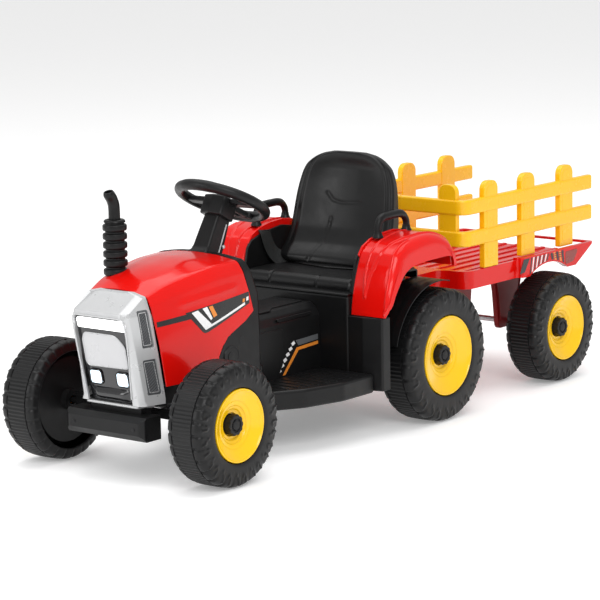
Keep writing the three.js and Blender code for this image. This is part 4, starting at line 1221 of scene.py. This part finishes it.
def seat_deck():
    """The rolled front cushion-like deck under the seat, with two grooves over its front edge."""
    w = box_mm("seat_deck")[1][1]
    rows = []
    for y in np.linspace(-w, w, 121):
        side = bump01(y, w - 14, 14)
        notch = max(bump01(y - 66, 0.6, 2.2), bump01(y + 46, 0.6, 2.2))
        pull = 9 * (1 - side)
        top = 290 - 6 * (1 - side)
        roll = []
        front = -109 + pull
        for t in np.linspace(0, 1, 12):
            a = t * math.pi / 2
            roll.append((front + 16 - (16 - 2.4 * notch) * math.sin(a),
                         top - 17 + (17 - 2.2 * notch) * math.cos(a)))
        behind = [(97.5, 266), (97.8, top - 5), (95, top - 1), (91, top), (45, top), (0, top), (-60, top),
                  (-86, top - 0.4 - 1.2 * notch)]
        ahead = [(front + 1, 268.6), (front - 1.5, 267.4), (-121, 266.6), (-124, 265), (-124.6, 262.6)]
        rows.append([(x, y, z) for x, z in (*behind, *roll, *ahead)])
    piece("deck_cover", "tractor", [(shell(grid(rows), 3), BLACK)], ["seat_deck"], angle=45)


def belt():
    """Flat lap belt: the right half runs from the console to the seat's foot, the left lies beside it."""
    def strap(path, wide, thick=1.6):
        u, v = wide / 2, thick / 2
        return sweep(smooth_path(path, 8), lambda t: [(-u, -v), (u, -v), (u, v), (-u, v)])

    right = [(-44, 129, 356), (-44, 126, 352), (-40, 124.5, 336), (-30, 123, 316), (-16, 118, 301),
             (2, 108, 295), (22, 96, 294)]
    piece("right_belt", "tractor", [(strap(right, 34), BELT)], angle=60, weighted=False)
    buckle = block((-48, -126, 291), (-14, -98, 301), bevel=2.5, steps=3)
    left = [(34, -104, 294), (6, -110, 298), (-16, -113, 297), (-40, -116, 294)]
    piece("left_belt", "tractor", [(strap(left, 26), BELT), (buckle, CASE)], angle=60,
          weighted=False)


# ---- fenders -------------------------------------------------------------------------
FENDER_IN, FENDER_OUT = 134.8, 223.6
# outer edge of a fender from front to back as (x, z), and the matching edge of its wheel arch
FENDER_TOP = ((-121, 228), (-117.5, 252), (-111, 280), (-102, 308), (-93, 330), (-85, 344), (-70, 355),
              (-54, 361.5), (-20, 368), (20, 371), (50, 367.5), (74, 359), (90, 349), (98.5, 338),
              (102.5, 320), (104.6, 298))
FENDER_ARCH = ((-117, 238), (-108, 249), (-98, 262), (-90, 273), (-78, 289), (-71, 297), (-62, 305),
               (-50, 311), (-37, 315), (-12, 318), (11, 319), (44, 319.5), (72, 319.5), (86, 317), (93, 309),
               (95.5, 298))


def fender_relief(t, y):
    """The raised ridges: a V down the front face and lines running back over the top."""
    inner_arm = float(np.interp(t, (0.10, 0.22, 0.36, 0.52, 1.0), (164, 158, 160, 155, 146)))
    outer_arm = float(np.interp(t, (0.10, 0.20, 0.32, 0.52, 0.75, 1.0), (164, 167, 180, 193, 205, 212)))
    edge_line = float(np.interp(t, (0.0, 0.2, 0.36, 0.5), (214, 213, 210, 207)))
    relief = 0.0
    if t > 0.09:
        relief = max(relief, 3.0 * bump01(y - inner_arm, 1.0, 2.6), 3.0 * bump01(y - outer_arm, 1.0, 2.6))
        if inner_arm < y < outer_arm:
            relief = max(relief, 1.2)
    if t < 0.5:
        relief = max(relief, 1.8 * bump01(y - edge_line, 0.8, 2.2))
    return relief


def fender(name, s):
    top = smooth_path([(x, 0, z) for x, z in FENDER_TOP], 8)
    arch = smooth_path([(x, 0, z) for x, z in FENDER_ARCH], 8)
    count = 90
    top = resample(top, np.linspace(0, 1, count))
    arch = resample(arch, np.linspace(0, 1, count))
    across = np.concatenate([np.linspace(FENDER_IN, 200, 60), np.linspace(201, FENDER_OUT, 22)])
    rows = []
    for k in range(count):
        t = k / (count - 1)
        outer, inner = np.array(top[k]), np.array(arch[k])
        ahead = np.array(top[min(k + 1, count - 1)]) - np.array(top[max(k - 1, 0)])
        normal = np.array([-ahead[2], 0, ahead[0]])
        normal /= np.linalg.norm(normal)
        narrow = 11 * (1 - min(t / 0.10, 1)) ** 2
        shoulder = min(20, 0.7 * float(np.linalg.norm(outer - inner)))
        ring = []
        for y in across:
            y = FENDER_IN + (y - FENDER_IN) * (FENDER_OUT - narrow - FENDER_IN) / (FENDER_OUT - FENDER_IN)
            edge = max(y - (FENDER_OUT - narrow - shoulder), 0) / shoulder
            sink = shoulder * (1 - math.sqrt(max(1 - edge ** 2.2, 0)))
            inner_edge = max(FENDER_IN + 4 - y, 0) / 4
            sink += 2.5 * (1 - math.sqrt(max(1 - inner_edge ** 2, 0)))
            lift = fender_relief(t, y) - 3.2
            point = outer + normal * (lift - sink)
            ring.append((point[0], s * y, point[2]))
        lip = np.array([outer[0], 0, outer[2]]) * 0.42 + np.array([inner[0], 0, inner[2]]) * 0.58
        wide = FENDER_OUT - narrow
        ring.append((lip[0], s * (wide - 0.6), lip[2]))
        ring.append((inner[0], s * (wide - 0.4), inner[2]))
        rows.append(ring)
    skin = grid(rows)
    parts = [(shell(skin, 2.4), RED)]
    cap = rounded([(-90, 336), (-78, 351), (-54, 362), (-20, 368.5), (20, 371), (46, 368), (66, 361),
                   (66, 345), (20, 354), (-20, 352), (-60, 346), (-84, 328)], 3, steps=2)
    parts.append((side_slab(cap, s, 131.5, 136, bevel=1.2, steps=3), RED))
    piece(f"{name}_fender_skin", "tractor", parts, [f"{name}_fender"], angle=45)


LINER_CENTRE = (69, 128)
LINER_R = 143.5
LINER_IN, LINER_OUT = 139.5, 205.5


def arch_liner(name, s):
    """A ribbed sheet round the rear wheel's upper front, inside the fender."""
    rows = []
    for a in np.radians(np.linspace(76, 165, 49)):
        ring = []
        for y in np.linspace(LINER_IN, LINER_OUT, 12):
            r = LINER_R - 1.2 * bump01((y - LINER_IN) % 16.5 - 8, 1.5, 1.5)
            ring.append((LINER_CENTRE[0] + r * math.cos(a), s * y, LINER_CENTRE[1] + r * math.sin(a)))
        rows.append(ring)
    piece(f"{name}_arch_liner", "tractor", [(shell(grid(rows), 2), BLACK)],
          [f"{name}_wheel_arch"], angle=50)


HANDLE_Y = 147
HANDLE_PATH = ((-45, 367), (-46, 380), (-42, 393), (-32, 400), (-16, 401.5), (4, 402), (22, 401.5), (35, 397),
               (43.5, 386), (44.5, 371))


def handle(name, s):
    path = smooth_path([(x, s * HANDLE_Y, z) for x, z in HANDLE_PATH], 8)

    def section(t):
        grip = 0.92 + 0.12 * bump01(t - 0.5, 0.2, 0.12)
        return circle(7.4 * grip, 24, 0.94)

    parts = [(sweep(path, section), BLACK)]
    for x, z in ((-45.5, 364), (44.3, 366)):
        foot = [(0.02, 0), (10.5, 0), (10.5, 2.2), (8.8, 4.4), (7.6, 9), (7.2, 12), (0.02, 12)]
        parts.append((lathe(foot, 32, (x, s * HANDLE_Y, z)), BLACK))
    piece(f"{name}_grab_handle", "tractor", parts, [f"{name}_handle"], angle=50)


# ---- controls ---------------------------------------------------------------------------
def controls():
    lo, hi = box_mm("power_button")
    x, y = (lo[0] + hi[0]) / 2, (lo[1] + hi[1]) / 2
    r = (hi[0] - lo[0]) / 2
    cap = [(0.02, lo[2]), (r, lo[2]), (r, hi[2] - 2.2), (r - 0.6, hi[2] - 0.8), (r - 1.8, hi[2] - 0.1),
           (r * 0.5, hi[2] - 0.5), (0.02, hi[2] - 0.9)]
    piece("start_button", "power", [(lathe(cap, 40, (x, y, 0)), BUTTON)], ["power_button"])
    lo, hi = box_mm("direction_switch")
    rows = []
    for x in np.linspace(lo[0], hi[0], 25):
        t = (x - lo[0]) / (hi[0] - lo[0])
        top = hi[2] - 3.2 * math.sin(math.pi * t) ** 1.2
        outline = [(lo[1], lo[2]), (hi[1], lo[2]), (hi[1], top, 1.6), (lo[1], top, 1.6)]
        rows.append([(x, u, v) for u, v in rounded(outline, 0.6, steps=3)])
    rocker = grid(rows, loop_columns=True, caps=True)
    piece("rocker", "direction", [(rocker, CASE)], ["direction_switch"], angle=40)
    lo, hi = box_mm("foot_pedal")
    crest, toe = (lo[0] + 4, hi[2] - 0.4), (hi[0] - 1, lo[2] + 6)
    side = [(lo[0], hi[2] - 3), crest, toe, (hi[0], lo[2]), (hi[0] - 8, lo[2])]
    parts = [(slab(side, "y", lo[1], hi[1], bevel=1.0, steps=3), BLACK)]
    ribs = 6
    for k in range(ribs):
        t = (k + 0.8) / (ribs + 0.6)
        x = crest[0] + t * (toe[0] - crest[0])
        z = crest[1] + t * (toe[1] - crest[1])
        parts.append((bead([(x, lo[1] + 4, z), (x, hi[1] - 4, z)], 1.1, 12), BLACK))
    piece("pedal_plate", "pedal", parts, ["foot_pedal"], angle=40)


# ---- trailer --------------------------------------------------------------------------
TRAILER_AXLE = (506.5, 111)
ARCH_R = 131
LEG_IN, LEG_OUT = 54, 66
BED_WIDE, BED_NARROW, BED_FRONT = 165.8, 153, 235.3
TONGUE_X, TONGUE_W = 118.4, 88


def bed_outline(inset):
    """Plan of the trailer bed: a tongue over the hitch, a narrow front and a wider rear."""
    wide, narrow, front = BED_WIDE - inset, BED_NARROW - inset, BED_FRONT + inset
    half = [(675.6 - inset, wide, 10), (413 + inset, wide, 8), (409 + inset, narrow, 6),
            (front, narrow, 26 - inset * 0.6)]
    if inset:
        return rounded(mirror_plan(half), 8, steps=6)
    half += [(BED_FRONT, TONGUE_W, 22), (TONGUE_X, TONGUE_W, 24)]
    return rounded(mirror_plan(half), 8, steps=7)


def trailer_bed():
    outer = slab(bed_outline(0), "z", 222.3, 263, bevel=0)
    load = slab(bed_outline(8), "z", 245, 300, bevel=0)
    under = slab(bed_outline(12), "z", 200, 240.5, bevel=0)
    lower_front = block((100, -200, 257.8), (408, 200, 300), bevel=0)
    tongue_under = slab(rounded(mirror_plan([(231, 82, 0), (125, 82, 18)]), 0), "z", 200, 252, bevel=0)
    cutters = [load, under, lower_front, tongue_under]
    for s in (-1, 1):
        y0, y1 = sorted((s * 112, s * 190))
        drum = [(0.02, y0), (ARCH_R, y0), (ARCH_R, y1), (0.02, y1)]
        cutters.append(lathe(drum, 72, (TRAILER_AXLE[0], 0, TRAILER_AXLE[1]), (0, 1, 0)))
    tail = [(690, 263), (676, 263), (606, 222), (606, 200), (690, 200)]
    cutters.append(slab(tail, "y", -200, 200, bevel=0))
    body = soften(cut_away(outer, cutters), 1.6, 3, angle=35)
    parts = [(body, RED)]
    for y in np.linspace(-96, 96, 7):
        parts.append((block((252, y - 5, 243), (640, y + 5, 247.6), bevel=1.5, steps=2), RED))
    # The legs, their edge beads and the block under the tongue use the darker red, which paints their shade.
    ax = TRAILER_AXLE[0]
    for s in (-1, 1):
        half = [(67, 240, 0), (52, 212, 26), (44, 176, 30), (35, 99.4, 10)]
        leg = [(ax - out, z, r) for out, z, r in half] + [(ax + out, z, r) for out, z, r in reversed(half)]
        parts.append((side_slab(rounded(leg, 6), s, LEG_IN, LEG_OUT, bevel=2.2, steps=3), SHADE_PAINTED_RED))
        for end in (-1, 1):
            edge = [(ax + end * out, s * (LEG_OUT + 0.3), z) for out, z in ((30, 116), (37, 170), (45, 204))]
            parts.append((bead(smooth_path(edge, 6), 1.5, 8), SHADE_PAINTED_RED))
    parts.append((block((243, -26, 200.2), (330, 26, 241), bevel=2, steps=2), SHADE_PAINTED_RED))
    piece("trailer_tub", "trailer", parts, ["trailer_bed"], angle=38)


STICKER_TOP = 259.5
BED_FOOT = 226


def strip(points, y, lift=0.35):
    """A thin flat sticker on the bed's outer side, points as (x, z)."""
    s = 1 if y > 0 else -1
    y0, y1 = sorted((y, y + s * lift))
    return slab(points, "y", y0, y1, bevel=0)


def trailer_stickers():
    """Generic slanted bars along the bed's flank, and a dark reflector at its tail."""
    for name, s in SIDES:
        y = s * 165.7
        parts = []

        def arch_top(x):
            reach = ARCH_R ** 2 - (x - TRAILER_AXLE[0]) ** 2
            return TRAILER_AXLE[1] + math.sqrt(reach) if reach > 0 else BED_FOOT

        def bar(x, wide, lean, material):
            feet = [max(arch_top(foot) + 3.5, 227) for foot in (x - lean, x + wide - lean)]
            if STICKER_TOP - max(feet) > 2:
                outline = [(x - lean, feet[0]), (x + wide - lean, feet[1]), (x + wide, STICKER_TOP),
                           (x, STICKER_TOP)]
                parts.append((strip(outline, y), material))

        wedge = [(401, 231), (419, 233.5), (437, STICKER_TOP), (416, STICKER_TOP)]
        parts.append((strip(wedge, y), INK_BLACK))
        for k in range(9):
            bar(442 + k * 7.6, 4.2, 6, INK_WHITE if k % 2 else INK_BLACK)
        for k in range(5):
            bar(513 + k * 10, 6.4, -4, INK_ORANGE if k % 2 else INK_BLACK)
        for lane in range(3):
            x0, x1, z = 515 - lane * 3, 556 + lane * 3, 247 + lane * 4
            parts.append((strip([(x0, z), (x1, z), (x1, z + 1.3), (x0, z + 1.3)], y, 0.5), INK_BLACK))
        piece(f"{name}_trailer_sticker", "trailer", parts, weighted=False, angle=60)
        outline = rounded([(567, 255), (616, 256), (597, 232), (567, 228)], 4, steps=3)
        reflector = side_slab(outline, s, 165, 166.4, bevel=0.6)
        piece(f"{name}_reflector", "trailer", [(reflector, INK_DARK_RED)], angle=50)


FENCE_FRONT, FENCE_OUT, FENCE_BEND = 224.0, 157.0, 24.0
FENCE_TAIL = 679.4


def fence_line(inset):
    """Plan of a rail's middle, from the middle of the front round the corner to the tail."""
    x, y, r = FENCE_FRONT + FENCE_BEND, FENCE_OUT - FENCE_BEND, FENCE_BEND - inset
    arc = [(x - r * math.cos(t), y + r * math.sin(t)) for t in np.linspace(0, math.pi / 2, 18)]
    front = [(FENCE_FRONT + inset, v) for v in np.linspace(0.6, y - 2, 8)]
    side = [(v, FENCE_OUT - inset) for v in np.linspace(x + 4, FENCE_TAIL, 40)]
    return front + arc + side


def post_outline(u0, u1, foot, top, foot_r, top_r):
    return [(u0, foot, foot_r), (u1, foot, foot_r), (u1, top, top_r), (u0, top, top_r)]


def fence(name, s):
    """One half of the fence: two rails bending round the front corner, three side posts, a front post."""
    parts = []
    line = fence_line(7.5)
    for z0, z1 in ((307.2, 337.8), (370.2, 399.8)):
        zc, h = (z0 + z1) / 2, (z1 - z0) / 2
        path = [(x, s * y, zc) for x, y in line]
        profile = rounded([(-7.3, -h), (7.3, -h), (7.3, h), (-7.3, h)], 4.2, steps=4)
        parts.append((sweep(path, lambda t: profile), YELLOW))
    for x in (319, 450, 590):
        foot = 258.4 if x < 410 else 263.4
        face = post_outline(x - 24, x + 24, foot, 430, 2, 18)
        parts.append((side_slab(rounded(face, 4, steps=7), s, 141, 154, bevel=2.6, steps=4), YELLOW))
        inset = post_outline(x - 16, x + 16, 275, 421, 4, 13)
        parts.append((side_slab(rounded(inset, 4, steps=6), s, 153, 154.6, bevel=0.7), YELLOW))
    face = post_outline(*sorted((s * 92.3, s * 133.7)), 308, 429.6, 2, 16)
    parts.append((slab(rounded(face, 4, steps=6), "x", 227.2, 239.8, bevel=2.6, steps=4), YELLOW))
    piece(f"{name}_fence_rails", "trailer", parts, [f"{name}_fence"], angle=42)


# ---- metal and inner parts kept as they are in the CAD ------------------------------------
KEPT = {
    "front_axle_beam": BLACK, "tie_rod": STEEL, "steering_shaft": STEEL, "rear_axle": STEEL, "battery": CASE,
    "trailer_axle": STEEL, "drawbar": SHADE_PAINTED_RED, "hitch_pin": STEEL,
    # the drawbar's darker red paints its shade
    "left_knuckle": BLACK, "right_knuckle": BLACK, "left_gearbox": CASE, "right_gearbox": CASE,
}


def keep_cad_parts():
    for node, material in KEPT.items():
        obj = bpy.data.objects[node]
        obj.data.materials.clear()
        obj.data.materials.append(material)
        modifier = obj.modifiers.new("edge", "BEVEL")
        modifier.width = 0.9 * MM
        modifier.segments = 2
        modifier.limit_method = "ANGLE"
        modifier.angle_limit = math.radians(40)


# ---- surroundings -----------------------------------------------------------------------
def stage():
    """A wide floor just below the wheels."""
    reach, cells, drop = 14000, 24, -0.4
    line = np.linspace(-reach, reach, cells + 1)
    mesh = bpy.data.meshes.new("floor")
    floor_bm = grid([[(x, y, drop) for x in line] for y in line])
    floor_bm.to_mesh(mesh)
    floor_bm.free()
    floor = bpy.data.objects.new("floor", mesh)
    bpy.context.scene.collection.objects.link(floor)
    floor.data.materials.append(FLOOR)


def area_light(name, place, aim, power, wide, high):
    data = bpy.data.lights.new(name, "AREA")
    data.shape = "RECTANGLE"
    data.size = wide
    data.size_y = high
    data.energy = power
    obj = bpy.data.objects.new(name, data)
    obj.location = place
    obj.rotation_euler = (Vector(aim) - Vector(place)).to_track_quat("-Z", "Y").to_euler()
    bpy.context.scene.collection.objects.link(obj)


def camera():
    data = bpy.data.cameras.new("camera")
    data.lens = 172.68
    data.sensor_width = 36
    data.clip_end = 60
    obj = bpy.data.objects.new("camera", data)
    azimuth, elevation, roll = (math.radians(v) for v in (-51.588, 10.094, -1.032))
    back = Vector((math.sin(azimuth) * math.cos(elevation), -math.cos(azimuth) * math.cos(elevation),
                   math.sin(elevation)))
    right = Vector((math.cos(azimuth), math.sin(azimuth), 0))
    up = back.cross(right)
    level = right * math.cos(roll) + up * math.sin(roll)
    upright = up * math.cos(roll) - right * math.sin(roll)
    turn = Matrix((level, upright, back)).transposed()
    obj.matrix_world = Matrix.Translation(Vector((-4.3183, -3.3457, 1.1976))) @ turn.to_4x4()
    bpy.context.scene.collection.objects.link(obj)
    bpy.context.scene.camera = obj


def studio():
    world = bpy.data.worlds.new("studio")
    bpy.context.scene.world = world
    world.use_nodes = True
    background = world.node_tree.nodes["Background"]
    background.inputs["Color"].default_value = (1, 1, 1, 1)
    background.inputs["Strength"].default_value = 0.62
    area_light("key", (-3.2, -3.6, 3.4), (-0.1, 0, 0.2), 130, 3.0, 2.4)
    area_light("top", (0.2, 0.4, 4.2), (0, 0, 0.2), 120, 4.5, 4.5)
    area_light("left_fill", (-4.4, 1.8, 1.6), (-0.3, 0, 0.25), 45, 2.2, 2.0)
    bpy.context.scene.view_settings.view_transform = "Standard"


FLOOR = moulded("floor", (0.93, 0.93, 0.93), 0.72, grain=0.0006, wave=0.0, vary=0.004)
floor_shader = FLOOR.node_tree.nodes["Principled BSDF"]
floor_shader.inputs["Emission Color"].default_value = (1, 1, 1, 1)
floor_shader.inputs["Emission Strength"].default_value = 0.24

wheels()
hood()
lower_body()
grille_frame()
vent_panel(-1)
vent_panel(1)
grille_insert()
front_bumper()
exhaust()
steering_wheel()
column_cover()
seat()
seat_deck()
belt()
for side_name, side_sign in SIDES:
    fender(side_name, side_sign)
    arch_liner(side_name, side_sign)
    handle(side_name, side_sign)
    fence(side_name, side_sign)
controls()
trailer_bed()
trailer_stickers()
keep_cad_parts()
stage()
studio()
camera()
